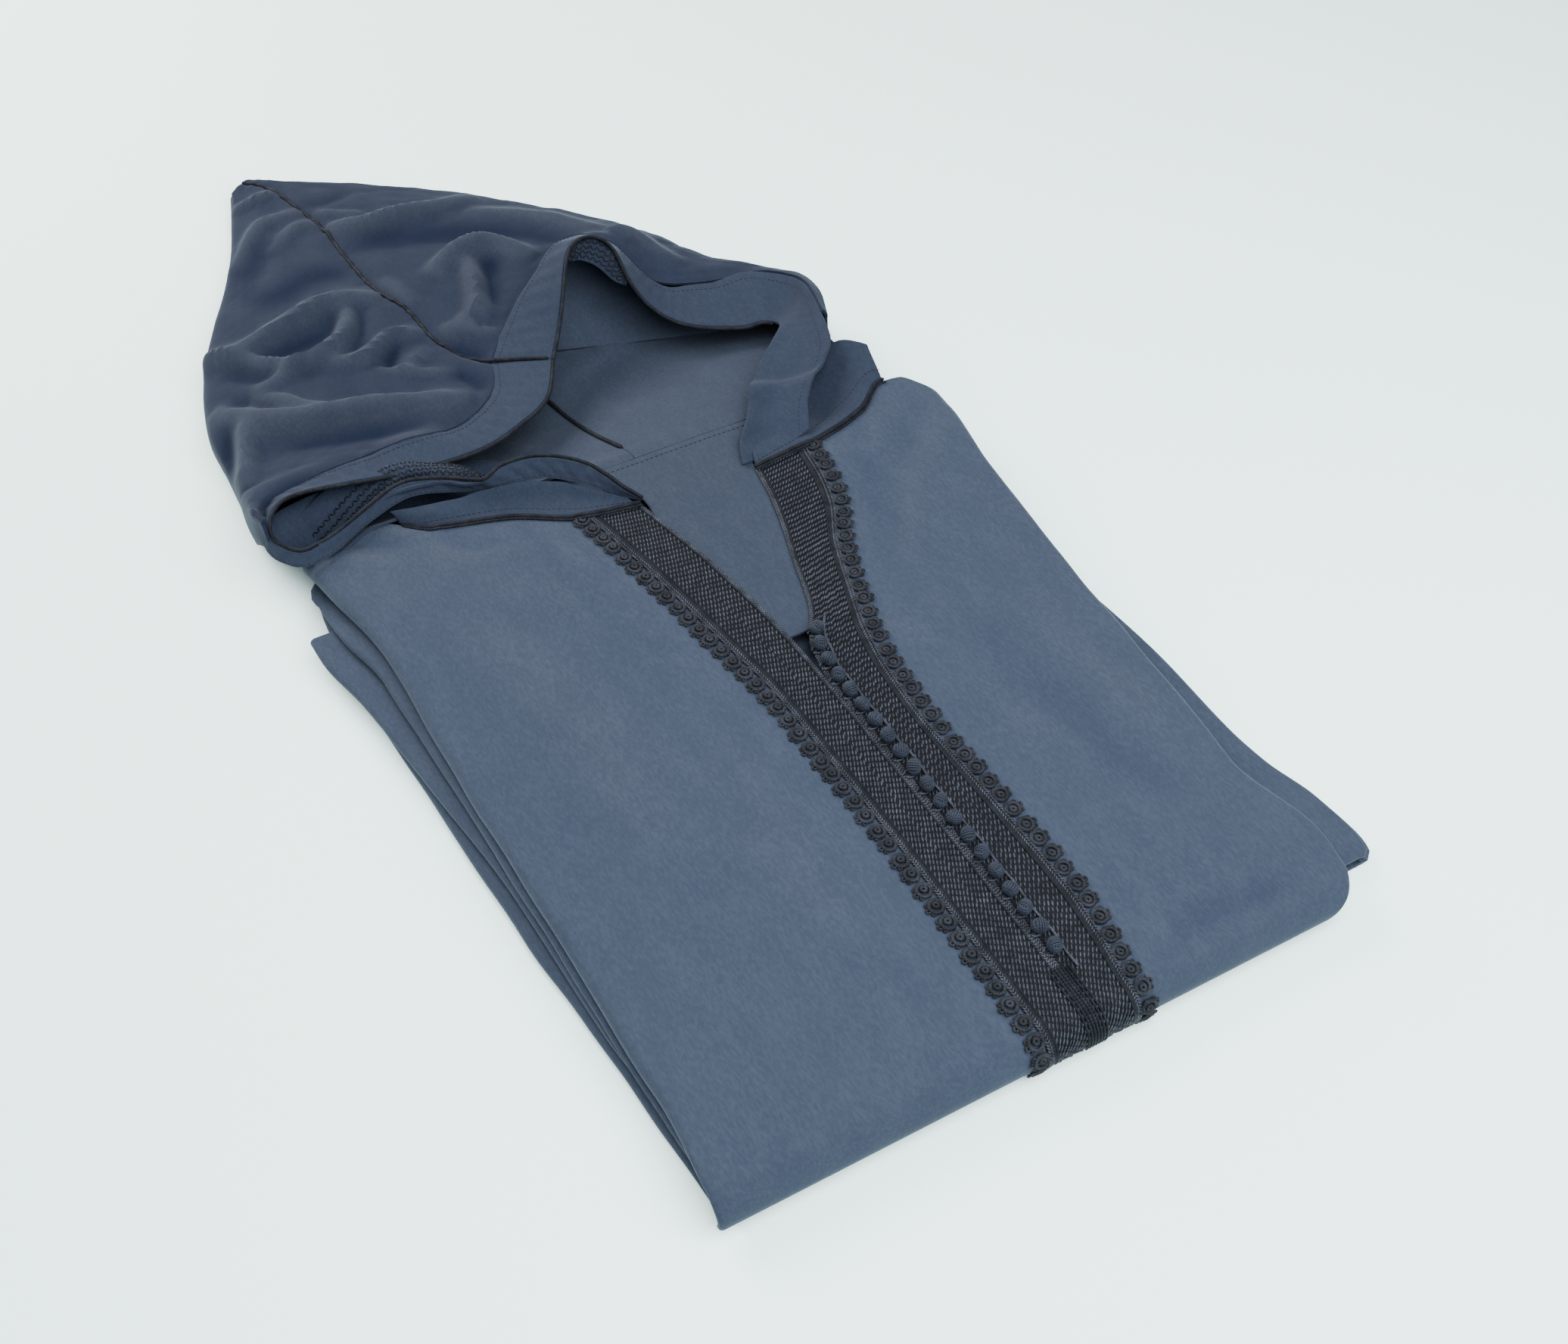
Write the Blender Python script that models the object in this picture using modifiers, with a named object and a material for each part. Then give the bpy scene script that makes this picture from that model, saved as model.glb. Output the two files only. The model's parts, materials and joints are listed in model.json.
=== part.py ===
"""Djellaba robe, folded into a flat pile with its pointed hood laid open beyond it.

Layout frame, in millimetres: x runs across the pile, 0 on the buttoned front opening; y runs from the
near fold (0) towards the point of the hood; z is up from the surface that the robe lies on.  The
robe's own right side is at negative x.  place() turns layout millimetres into metres about the origin.
"""
import math

import bmesh
import bpy
from mathutils import Vector

MM = 0.001

# Layout point that becomes the origin: the middle of the whole robe's footprint.
CENTRE_X = -13.5
CENTRE_Y = 488.4

# Cloth, gaps and trims.
CLOTH = 2.0              # one layer of brushed cloth with its nap
HEM = 2.4                # the doubled hem round the face opening
SEAM_GAP = 0.4           # clearance between neighbouring pieces
BRAID = 1.3              # thickness of the braid bands
PICOT = 1.0              # thickness of the looped edging
NECK_CORD = 1.5          # radii of the cords
RIM_CORD = 1.3
SEAM_CORD = 1.2
BUTTON = 4.6
BUTTON_COUNT = 20

# Near fold: half a turn of this radius, on a front edge that is slightly out of square.
ROLL = 13.0
FRONT_SLANT = -0.065
ROLL_STEPS = (-115, -95, -75, -55, -36, -18)

# Rise of the pile above the near fold's thickness, along y.
PILE_RISE = [
    # along, rise
    (0, 0.0),
    (60, 6.0),
    (140, 12.0),
    (250, 16.5),
    (380, 17.0),
    (450, 14.5),
    (520, 9.0),
]
SHOULDER_DROP = 5.0      # how far the pile sinks towards its side edges

# Side edges of the top layer; a negative "along" is an angle round the near fold.
TOP_EDGES = [
    # along, right_x, left_x
    (-115, -219, 160),
    (-60, -219, 171),
    (0, -218, 179),
    (30, -215, 184),
    (55, -214, 181),
    (90, -214, 175),
    (130, -214, 178),
    (240, -215, 185),
    (310, -213, 194),
    (370, -212, 201),
    (440, -220, 213),
    (515, -231, 220),
]

# Far edge of each front, where the neck seam and the shoulders run.
FRONT_RIGHT_TOP = [
    # x, y
    (-235, 524),
    (-205, 529),
    (-180, 529),
    (-160, 519),
    (-144, 505),
    (-96, 483),
    (-55, 455),
    (-20, 446),
]
FRONT_LEFT_TOP = [
    (58, 436),
    (107, 439),
    (154, 451),
    (186, 472),
    (200, 470),
    (214, 446),
    (222, 438),
]

# Inner and outer edges of the two braid bands.
RIGHT_BAND = [
    # along, outer_x, inner_x
    (0, -29.5, -0.4),
    (60, -29.5, -0.4),
    (250, -32, -0.4),
    (285, -36, -1),
    (350, -43, -7),
    (432, -55, -20),
]
LEFT_BAND = [
    # along, inner_x, outer_x
    (0, 0.4, 29),
    (25, 0.4, 33),
    (60, 0.4, 36),
    (190, 0.4, 33),
    (230, 0.4, 36),
    (266, 5, 43),
    (300, 23, 54),
    (340, 36, 69),
    (376, 48, 88),
    (420, 60, 101),
]
PICOT_REACH = 13.5
V_POINT = 270            # along: where the two bands part to form the neck

# Layers of the folded stack as shares of its height, and their edges.
LAYER_LIFTS = {"skirt": (0.0, 0.25), "sleeve": (0.26, 0.46), "side": 0.47}
RIGHT_LAYERS = [
    # along, skirt_x, side_x, sleeve_x
    (0, -214, -213, -208),
    (40, -216, -215, -210),
    (110, -220, -216, -217),
    (210, -226, -217, -219),
    (300, -228, -218, -227),
    (380, -231, -219, -235),
    (430, -230, -226, -243),
    (500, -222, -230, -243),
]
SLEEVE_DEPTH = 30
LEFT_SLEEVE = [
    # along, outer_x
    (8, 208),
    (14, 215),
    (26, 217),
    (55, 215),
    (90, 207),
    (115, 205),
    (190, 208),
    (240, 206),
    (290, 196),
]
LEFT_SLEEVE_TOP = 14.0
FLAP = 8.0               # cloth turned under at the side edges

# Crown seam of the hood, from its point to the forehead.
CROWN = [
    # x, y, z
    (-98, 983, 12),
    (-86, 967, 13),
    (-75, 919, 17),
    (-70, 870, 21),
    (-71, 820, 26),
    (-70, 770, 30),
    (-61, 725, 34),
    (-58, 678, 35),
    (-38, 641, 36),
]
# Hem round the face opening: free edge (rim) and the line where it joins the hood.
HEM_RIGHT = [
    # rim_x, rim_y, rim_z, join_x, join_y, join_z
    (0.5, 616.5, 38, -37.6, 639, 35),
    (-21, 581, 40, -50, 607, 38),
    (-49, 563, 42, -71, 588, 41),
    (-80, 552, 44, -98, 578, 44),
    (-116, 550, 47, -132, 578, 47),
    (-144, 553, 49, -158, 578, 49),
    (-170, 558, 51, -182, 579, 49),
    (-200, 565, 52, -210, 579, 46),
    (-219, 566, 51, -228, 575, 43),
    (-231, 554, 49, -237, 558, 40),
    (-235, 538, 47, -239, 535, 39),
    (-225, 521, 46, -228, 515, 40),
    (-213, 520, 46, -214, 513, 40),
    (-199, 522, 47, -200, 516, 41),
    (-181, 528, 49, -183, 523, 43),
    (-153, 537, 52, -155, 531, 45),
    (-137, 535, 53, -136, 529, 46),
    (-116, 522, 54, -112, 516, 47),
    (-100, 509, 56, -94, 508, 49),
    (-88, 512, 58, -80, 503, 50),
    (-70, 509, 60, -64, 496, 51),
    (-53, 498, 61, -52, 485, 51),
    (-38, 480, 60, -41, 472, 51),
    (-27, 458, 54, -31, 461, 47),
    (-18, 448, 48, -22, 453, 47),
]
HEM_LEFT = [
    (1.3, 617.3, 38, -36.8, 640, 35),
    (17, 637, 46, -20, 658, 38),
    (32, 656, 60, 4, 678, 46),
    (45, 675, 70, 29, 692, 56),
    (58, 685, 75, 50, 704, 63),
    (73, 684, 75, 74, 706, 62),
    (83, 672, 68, 93, 695, 54),
    (84, 653, 55, 101, 672, 44),
    (88, 634, 43, 108, 655, 38),
    (98, 615, 36, 116, 647, 36),
    (113, 600, 33, 130, 642, 36),
    (140, 582, 33, 149, 634, 37),
    (163, 570, 35, 176, 622, 41),
    (163, 558, 40, 197, 600, 47),
    (144, 542, 46, 194, 573, 51),
    (118, 523, 50, 177, 545, 54),
    (96, 497, 51, 156, 512, 54),
    (78, 474, 50, 112, 474, 52),
    (64, 453, 49, 84, 453, 51),
    (58, 442, 46, 63, 453, 50),
]
RIM_LEFT_SHOWN = 13      # rows of the left hem whose piped edge is not turned under

# Outermost line of each side of the hood, from its point towards the neck: one row for each crown
# row, then one for each place on the hem named in the list of joins, counted in half rows.
HOOD_RIGHT_JOINS = (0, 2, 4, 6, 8, 12, 14, 15)
HOOD_RIGHT_SIDE = [
    # x, y, z, foot_z
    (-110, 976, 6, 2.8),
    (-122, 941, 7, 2.8),
    (-140, 893, 9, 2.8),
    (-160, 852, 10, 2.8),
    (-184, 808, 12, 2.8),
    (-207, 762, 13, 2.8),
    (-221, 722, 15, 2.8),
    (-230, 682, 17, 2.8),
    (-231, 655, 19, 2.8),
    (-232, 640, 20, 2.8),
    (-233, 627, 21, 2.8),
    (-234, 615, 23, 2.8),
    (-235, 606, 24, 2.8),
    (-238, 594, 27, 5),
    (-240, 590, 29, 12),
    (-242, 587, 30, 20),
]
HOOD_LEFT_JOINS = (0, 2, 4, 6, 8, 10, 11, 12, 13, 14, 16, 22, 24, 25, 26, 27, 28, 30)
HOOD_LEFT_SIDE = [
    # x, y, z, foot_z
    (-92, 988, 6, 2.8),
    (-74, 972, 8, 2.8),
    (-28, 936, 10, 2.8),
    (16, 897, 11, 2.8),
    (48, 867, 12, 2.8),
    (70, 843, 12, 2.8),
    (84, 827, 12, 2.8),
    (94, 815, 12, 2.8),
    (103, 804, 13, 2.8),
    (118, 783, 13, 2.8),
    (130, 765, 14, 2.8),
    (139, 747, 14, 2.8),
    (145, 734, 15, 2.8),
    (149, 724, 15, 2.8),
    (152, 716, 16, 2.8),
    (155, 707, 16, 2.8),
    (157, 700, 16, 2.8),
    (160, 693, 17, 2.8),
    (168, 672, 19, 2.8),
    (182, 643, 24, 2.8),
    (188, 629, 24, 2.8),
    (195, 618, 25, 2.8),
    (201, 604, 27, 2.8),
    (202, 588, 29, 2.8),
    (199, 571, 30, 2.8),
    (184, 541, 34, 2.8),
]
# Strips of hood that stand along the neck seam: seam point, then the free edge above it.
NECK_RIGHT = [
    # seam_x, top_x, top_y, top_z
    (-22, -24, 451, 44),
    (-55, -57, 466, 45),
    (-96, -97, 498, 49),
    (-125, -126, 513, 51),
    (-156, -160, 524, 48),
]
NECK_LEFT = [
    (62, 70, 449, 48),
    (107, 106, 462, 47),
    (152, 140, 484, 47),
    (186, 172, 504, 46),
]
# The hood's under layer: centre-back seam from its point to the neckline, and outer edges beside it.
BACK_SEAM = [
    # x, y, z
    (-96, 972, 0),
    (-80, 930, 0),
    (-66, 850, 0),
    (-48, 760, 0),
    (-22, 680, 0),
    (-6, 625, 0),
    (-4, 585, 6),
    (-4, 545, 21),
    (0, 511, 33),
]
UNDER_RIGHT = [
    (-107, 973, 0),
    (-121, 940, 0),
    (-158, 852, 0),
    (-206, 761, 0),
    (-228, 690, 0),
    (-229, 640, 0),
    (-226, 610, 0),
    (-219, 582, 0),
    (-208, 556, 0),
]
UNDER_LEFT = [
    (-92, 984, 0),
    (-68, 966, 0),
    (28, 885, 0),
    (109, 793, 0),
    (154, 705, 0),
    (175, 650, 0),
    (180, 620, 5),
    (172, 570, 20),
    (130, 516, 33),
]
SEAM_CORD_FROM = 5       # first row of the seam that has a cord on it
NECKLINE_RIGHT = -34     # x of the two ends of the back neckline
NECKLINE_LEFT = 96
NECKLINE_ALONG = 478

SLATE = (0.085, 0.125, 0.185, 1.0)
SLATE_INSIDE = (0.095, 0.135, 0.19, 1.0)
CHARCOAL = (0.022, 0.025, 0.03, 1.0)


def place(point):
    """Layout millimetres to metres about the robe's origin."""
    return Vector(((point[0] - CENTRE_X) * MM, (point[1] - CENTRE_Y) * MM, point[2] * MM))


def look_up(table, key, column):
    """A column of a table at a value of its first column, on a curve that never overshoots."""
    keys = [row[0] for row in table]
    values = [row[column] for row in table]
    if key <= keys[0]:
        return values[0]
    if key >= keys[-1]:
        return values[-1]
    index = max(i for i in range(len(keys) - 1) if keys[i] <= key)
    steps = [(values[i + 1] - values[i]) / (keys[i + 1] - keys[i]) for i in range(len(keys) - 1)]

    def slope(i):
        if i == 0 or i == len(keys) - 1:
            return steps[min(i, len(steps) - 1)]
        before, after = steps[i - 1], steps[i]
        if before * after <= 0:
            return 0.0
        return 2 * before * after / (before + after)

    width = keys[index + 1] - keys[index]
    t = (key - keys[index]) / width
    return ((1 + 2 * t) * (1 - t) ** 2 * values[index] + t * (1 - t) ** 2 * width * slope(index)
            + t * t * (3 - 2 * t) * values[index + 1] + t * t * (t - 1) * width * slope(index + 1))


def ease(value, start, end):
    """0 before start, 1 after end, smooth between."""
    t = min(1.0, max(0.0, (value - start) / (end - start)))
    return t * t * (3 - 2 * t)


def between(first, second, share):
    """Point on the line from first to second."""
    return tuple(a + (b - a) * share for a, b in zip(first, second))


def spline(points, count):
    """count points on a smooth curve through the given ones, evenly spread over their spans."""
    last = len(points) - 1
    result = []
    for i in range(count):
        position = last * i / (count - 1)
        k = min(int(position), last - 1)
        t = position - k
        a, b, c, d = (points[max(k - 1, 0)], points[k], points[k + 1], points[min(k + 2, last)])
        result.append(tuple(
            q + 0.5 * t * (r - p + t * (2 * p - 5 * q + 4 * r - s + t * (3 * (q - r) + s - p)))
            for p, q, r, s in zip(a, b, c, d)))
    return result


def front_y(x):
    """Foremost line of the folded layers at the near fold."""
    return FRONT_SLANT * x


def full_height(along):
    """Height of the folded layers along their middle."""
    return 2 * ROLL + look_up(PILE_RISE, along, 1)


def stack_height(x, along):
    """Top of the folded layers, above the surface they lie on."""
    right_x = look_up(TOP_EDGES, along, 1)
    left_x = look_up(TOP_EDGES, along, 2)
    middle = 0.5 * (left_x + right_x)
    half = 0.5 * (left_x - right_x)
    outward = abs(x - middle) / half
    sink = SHOULDER_DROP * outward ** 4 * ease(along, 0, 70)
    return full_height(along) - sink


def pile_point(x, along, lift):
    """Point above the folded layers; a negative along is an angle round the near fold."""
    middle_y = front_y(x) + ROLL
    if along < 0:
        angle = math.radians(-along)
        reach = ROLL + lift
        return (x, middle_y - reach * math.sin(angle), ROLL + reach * math.cos(angle))
    return (x, middle_y + along, stack_height(x, along) + lift)


def along_of(x, y):
    """Distance beyond the near fold of a layout point on the pile's top."""
    return y - front_y(x) - ROLL


collection = bpy.data.collections.new("djellaba_robe")


def material(name, colour, roughness):
    made = bpy.data.materials.new(name)
    made.use_nodes = True
    shader = made.node_tree.nodes["Principled BSDF"]
    shader.inputs["Base Color"].default_value = colour
    shader.inputs["Roughness"].default_value = roughness
    shader.inputs["Metallic"].default_value = 0.0
    return made


def add_object(name, data, colour, roughness=0.9):
    made = bpy.data.objects.new(name, data)
    collection.objects.link(made)
    data.materials.append(material(name, colour, roughness))
    return made


def grid_mesh(name, rows):
    """Open sheet through rows of layout points; its faces look up where rows run along +y."""
    mesh = bpy.data.meshes.new(name)
    width = len(rows[0])
    points = [place(point) for row in rows for point in row]
    faces = []
    for r in range(len(rows) - 1):
        for c in range(width - 1):
            first = r * width + c
            faces.append((first, first + 1, first + width + 1, first + width))
    mesh.from_pydata(points, [], faces)
    mesh.shade_smooth()
    return mesh


def add_cloth(name, rows, thickness, colour, grow=1.0):
    """Sheet of cloth: a grid of points given its wall on the side its faces look to."""
    made = add_object(name, grid_mesh(name, rows), colour)
    wall = made.modifiers.new("wall", "SOLIDIFY")
    wall.thickness = thickness * MM
    wall.offset = grow
    wall.use_even_offset = True
    wall.use_quality_normals = True
    return made


def add_cord(name, points, radius, colour=CHARCOAL):
    """Round cord along layout points, closed at both ends."""
    curve = bpy.data.curves.new(name, "CURVE")
    curve.dimensions = "3D"
    curve.bevel_depth = radius * MM
    curve.bevel_resolution = 1
    curve.use_fill_caps = True
    path = curve.splines.new("POLY")
    path.points.add(len(points) - 1)
    for knot, point in zip(path.points, points):
        knot.co = (*place(point), 1.0)
    return add_object(name, curve, colour)


def add_loft(name, loops, colour):
    """Closed body through equal closed loops, with a flat cap at each end."""
    mesh = bpy.data.meshes.new(name)
    size = len(loops[0])
    body = bmesh.new()
    rings = [[body.verts.new(place(point)) for point in loop] for loop in loops]
    for first, second in zip(rings, rings[1:]):
        for i in range(size):
            j = (i + 1) % size
            body.faces.new((first[i], first[j], second[j], second[i]))
    body.faces.new(rings[0])
    body.faces.new(rings[-1])
    bmesh.ops.recalc_face_normals(body, faces=body.faces)
    body.to_mesh(mesh)
    body.free()
    return add_object(name, mesh, colour)


# ---------------------------------------------------------------- the folded stack

FOLD_RADIUS = (1.3, 4.0)     # inside radius of the side folds: at the near fold, then along the sides
FOLD_GROWS = 70              # along: where the side folds reach their full radius
STACK_EASE = 0.25            # the hidden layers stay this much lower than the cloth on them
FLAP_ROOM = 0.5              # free height below the cloth turned under
LAYER_ROUND = 3.0            # rounding of each layer's edge
ROLL_ANGLES = (80, 62, 42, 20)
STACK_STATIONS = (0, 8, 22, 36, 46, 70, 100, 140, 190, 240, 290, 310, 345, 380, 415, 447, 457, 478)
STACK_END = [
    # along, squash, inset
    (486, 0.86, 4.0),
    (492, 0.55, 9.0),
]
STACK_END_MIDDLE = 0.42      # share of the height that the far end closes towards


def fold_radius(along):
    """Inside radius of the turned side edge of the top layer."""
    tight, full = FOLD_RADIUS
    return tight + (full - tight) * ease(along, 0, FOLD_GROWS)


def stack_loop(along, edges_at, inset):
    """Outline of the hidden layers across the pile, with a step at each layer's edge."""
    right_x = look_up(TOP_EDGES, edges_at, 1) + inset
    left_x = look_up(TOP_EDGES, edges_at, 2) - inset
    skirt_x = look_up(RIGHT_LAYERS, along, 1) + inset
    side_x = look_up(RIGHT_LAYERS, along, 2) + inset
    sleeve_open = ease(along, 36, 46) * (1 - ease(along, 447, 457))
    sleeve_x = skirt_x + 6 + (SLEEVE_DEPTH + 11) * sleeve_open
    flap_open = 4 + (FLAP + 6) * ease(along, 0, 50)
    left_open = ease(along, 0, 6) * (1 - ease(along, 300, 310))
    low_x = left_x - 9 - 18 * left_open
    full = full_height(along)
    room = 2 * fold_radius(along) + CLOTH + FLAP_ROOM
    skirt_low, skirt_high = LAYER_LIFTS["skirt"]
    sleeve_high = LAYER_LIFTS["sleeve"][1]
    side_low = LAYER_LIFTS["side"]

    def level(x, share):
        return (x, share * full)

    def below_flap(x):
        return (x, stack_height(x, along) - room)

    def waist(x):
        return (x, 0.5 * (side_low * full + below_flap(x)[1]))

    start, end = right_x + flap_open, left_x - flap_open
    top_steps = 9
    loop = [
        level(skirt_x + LAYER_ROUND, skirt_low),
        level(skirt_x, 0.06),
        level(skirt_x, 0.19),
        level(skirt_x + LAYER_ROUND, skirt_high),
        level(sleeve_x, skirt_high + 0.005),
        level(sleeve_x, sleeve_high + 0.005),
        level(side_x + LAYER_ROUND, side_low),
        waist(side_x),
        below_flap(side_x + LAYER_ROUND),
        below_flap(start),
    ]
    for step in range(top_steps + 1):
        x = start + (end - start) * step / top_steps
        loop.append((x, stack_height(x, along) - STACK_EASE))
    loop += [
        below_flap(end),
        below_flap(left_x - 4),
        waist(left_x - 1),
        level(left_x - 4, 0.42),
        level(low_x, 0.40),
        level(low_x, 0.0),
    ]
    return loop


def make_folded_layers():
    """The skirt, back and sleeves folded out of sight, as one rounded solid with layered edges."""
    loops = []
    for angle in ROLL_ANGLES:
        squash = math.cos(math.radians(angle))
        reach = ROLL * math.sin(math.radians(angle))
        loop = stack_loop(0, -angle, 4.0)
        loops.append([(x, front_y(x) + ROLL - reach, ROLL + (z - ROLL) * squash) for x, z in loop])
    for along in STACK_STATIONS:
        loop = stack_loop(along, along, 1.0)
        loops.append([(x, front_y(x) + ROLL + along, z) for x, z in loop])
    first_end = STACK_END[0][0]
    for along, squash, inset in STACK_END:
        loop = stack_loop(first_end, first_end, inset)
        middle = STACK_END_MIDDLE * full_height(first_end)
        loops.append([(x, front_y(x) + ROLL + along, middle + (z - middle) * squash) for x, z in loop])
    add_loft("folded_layers", loops, SLATE)


def side_turn(x_edge, along, side):
    """Cross-section of the top layer where it turns under at a side edge, from the flap outwards."""
    opened = ease(along, 0, FOLD_GROWS)
    radius = fold_radius(along)
    sweep = 60 + 120 * opened
    turn_steps = 4
    least_flap = 0.6
    section = []
    for step in range(turn_steps, -1, -1):
        angle = math.radians(sweep * step / turn_steps)
        section.append((x_edge - side * (radius - radius * math.sin(angle) + CLOTH),
                        -radius * (1 - math.cos(angle))))
    first_x, first_drop = section[0]
    if opened > 0:
        section.insert(0, (first_x - side * (least_flap + (FLAP - least_flap) * opened), first_drop))
    else:
        second_x, second_drop = section[1]
        end_x = first_x + 0.5 * (first_x - second_x)
        section.insert(0, (end_x, first_drop + 0.5 * (first_drop - second_drop)))
    return section


FRONT_SHARES = (0, 0.05, 0.11, 0.18, 0.27, 0.37, 0.48, 0.59, 0.7, 0.8, 0.9, 1.0)


def front_rows(top_line, edge_column, side, inner_edge, inner_steps):
    """Rows of one front, from the near fold to the neck seam, right to left as the robe lies."""
    rows = []
    stations = [(along, 0) for along in ROLL_STEPS]
    stations += [(0, share) for share in FRONT_SHARES]
    for angle, share in stations:
        guide = angle if angle else share * NECKLINE_ALONG
        edge_x = look_up(TOP_EDGES, guide, edge_column)
        turn = side_turn(edge_x, max(guide, 0), side)
        last_turn_x = turn[-1][0]
        across = [(x, drop) for x, drop in turn]
        for step in range(1, inner_steps + 1):
            x = last_turn_x + (inner_edge(guide) - last_turn_x) * step / inner_steps
            here = angle if angle else share * along_of(x, look_up(top_line, x, 1))
            x = last_turn_x + (inner_edge(here) - last_turn_x) * step / inner_steps
            across.append((x, 0.0))
        row = []
        for x, drop in across:
            here = angle if angle else share * along_of(x, look_up(top_line, x, 1))
            row.append(pile_point(x, here, SEAM_GAP + drop))
        if side > 0:
            row.reverse()
        rows.append(row)
    return rows


BAND_OVERHANG = 2.0          # the bands stand this far past the cloth round the open neck


def right_inner(along):
    """Inner edge of the right front: the opening, then under the right band's edge."""
    return look_up(RIGHT_BAND, along, 2) - BAND_OVERHANG * ease(along, V_POINT - 30, V_POINT + 10)


def left_inner(along):
    """Inner edge of the left front."""
    return look_up(LEFT_BAND, along, 1) + BAND_OVERHANG * ease(along, V_POINT - 30, V_POINT + 10)


def make_fronts():
    """The two fronts, from under the near fold up to the neck seam and shoulders."""
    rows = front_rows(FRONT_RIGHT_TOP, 1, -1, right_inner, 7)
    add_cloth("front_right", rows, CLOTH, SLATE)
    rows = front_rows(FRONT_LEFT_TOP, 2, 1, left_inner, 6)
    add_cloth("front_left", rows, CLOTH, SLATE)


BACK_BETWEEN_FRONTS = (284, 300, 320, 345, 370, 395, 412)
BACK_CLEAR = (1.2, 1.6)      # from the right front and from the left front
BACK_BEYOND = [
    # along, right_x, left_x
    (440, -16, 54),
    (456, -24, 64),
    (NECKLINE_ALONG - 1, NECKLINE_RIGHT, NECKLINE_LEFT),
]


def make_back():
    """Inside of the back, seen through the open neck."""
    ends = []
    for along in BACK_BETWEEN_FRONTS:
        ends.append((along, right_inner(along) + BACK_CLEAR[0], left_inner(along) - BACK_CLEAR[1]))
    ends += BACK_BEYOND
    rows = []
    for along, right_x, left_x in ends:
        rows.append([pile_point(right_x + (left_x - right_x) * c / 4, along, SEAM_GAP) for c in range(5)])
    add_cloth("back", rows, CLOTH, SLATE_INSIDE)


SLEEVE_RIGHT_STATIONS = (48, 75, 110, 160, 210, 260, 300, 340, 380, 415, 433, 444)
SLEEVE_LEFT_STATIONS = (9, 14, 26, 40, 55, 90, 115, 150, 190, 240, 290)
SLEEVE_LEFT_TUCK = 24        # how far the left sleeve reaches in under the top layer
SLEEVE_LEFT_SHARE = 0.40     # its top as a share of the stack's height


def make_sleeves():
    """Edges of the two sleeves, folded into the stack and showing beside it."""
    loops = []
    low, high = LAYER_LIFTS["sleeve"]
    for along in SLEEVE_RIGHT_STATIONS:
        outer = look_up(RIGHT_LAYERS, along, 3)
        inner = look_up(RIGHT_LAYERS, along, 1) + SLEEVE_DEPTH
        base = full_height(along) * low + SEAM_GAP
        top = full_height(along) * high - SEAM_GAP
        middle = 0.5 * (base + top)
        outline = [(outer, middle), (outer + 2.5, base + 0.8), (outer + 8, base), (inner, base),
                   (inner, top), (outer + 8, top), (outer + 2.5, top - 0.8)]
        loops.append([(x, front_y(x) + ROLL + along, z) for x, z in outline])
    add_loft("sleeve_right", loops, SLATE)
    loops = []
    for along in SLEEVE_LEFT_STATIONS:
        outer = look_up(LEFT_SLEEVE, along, 1)
        inner = look_up(TOP_EDGES, along, 2) - SLEEVE_LEFT_TUCK
        top = min(LEFT_SLEEVE_TOP, SLEEVE_LEFT_SHARE * full_height(along) - SEAM_GAP)
        outline = [(inner, 0), (outer - 6, 0), (outer - 1.5, 1.6), (outer, top * 0.35),
                   (outer - 2, top * 0.5), (outer - 4.5, top * 0.58), (outer - 3.5, top * 0.72),
                   (outer - 4.5, top * 0.88), (outer - 10, top), (inner, top)]
        loops.append([(x, front_y(x) + ROLL + along, z) for x, z in outline])
    add_loft("sleeve_left", loops, SLATE)


# ---------------------------------------------------------------- trims on the fronts

BAND_STEPS = (0, 30, 60, 90, 120, 150, 180, 210, 235, 255, 275, 300, 325, 350, 375, 400)
BAND_END = 2.2               # from the end of a band to the neck seam
BUTTONS_ALONG = (278, 30)    # first and last button of the row


def band_rows(table, columns, top_line, lift, shift=(0.0, 0.0)):
    """Rows of a strip on the fronts between two edge columns of a table, up to the neck seam."""
    rows = []
    shares = (0.0, 0.34, 0.67, 1.0)
    for along in ROLL_STEPS + BAND_STEPS:
        start, end = (look_up(table, max(along, 0), column) for column in columns)
        start, end = start + shift[0], end + shift[1]
        rows.append([pile_point(start + (end - start) * share, along, lift) for share in shares])
    last_key = table[-1][0]
    start, end = (look_up(table, last_key, column) for column in columns)
    start, end = start + shift[0], end + shift[1]
    row = []
    for share in shares:
        x = start + (end - start) * share
        row.append(pile_point(x, along_of(x, look_up(top_line, x, 1)) - BAND_END, lift))
    rows.append(row)
    return rows


def make_bands():
    """Braid bands that border the neck and run down the front opening, and their looped edging."""
    on_cloth = CLOTH + 2 * SEAM_GAP
    sides = (
        ("right", RIGHT_BAND, (1, 2), FRONT_RIGHT_TOP, (1, 1), (-PICOT_REACH, -SEAM_GAP)),
        ("left", LEFT_BAND, (1, 2), FRONT_LEFT_TOP, (2, 2), (SEAM_GAP, PICOT_REACH)),
    )
    for side, table, columns, top_line, outer, shift in sides:
        add_cloth("braid_" + side, band_rows(table, columns, top_line, on_cloth), BRAID, CHARCOAL)
        edging = [[row[0], row[-1]] for row in band_rows(table, outer, top_line, on_cloth, shift)]
        add_cloth("picot_" + side, edging, PICOT, CHARCOAL)


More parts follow.
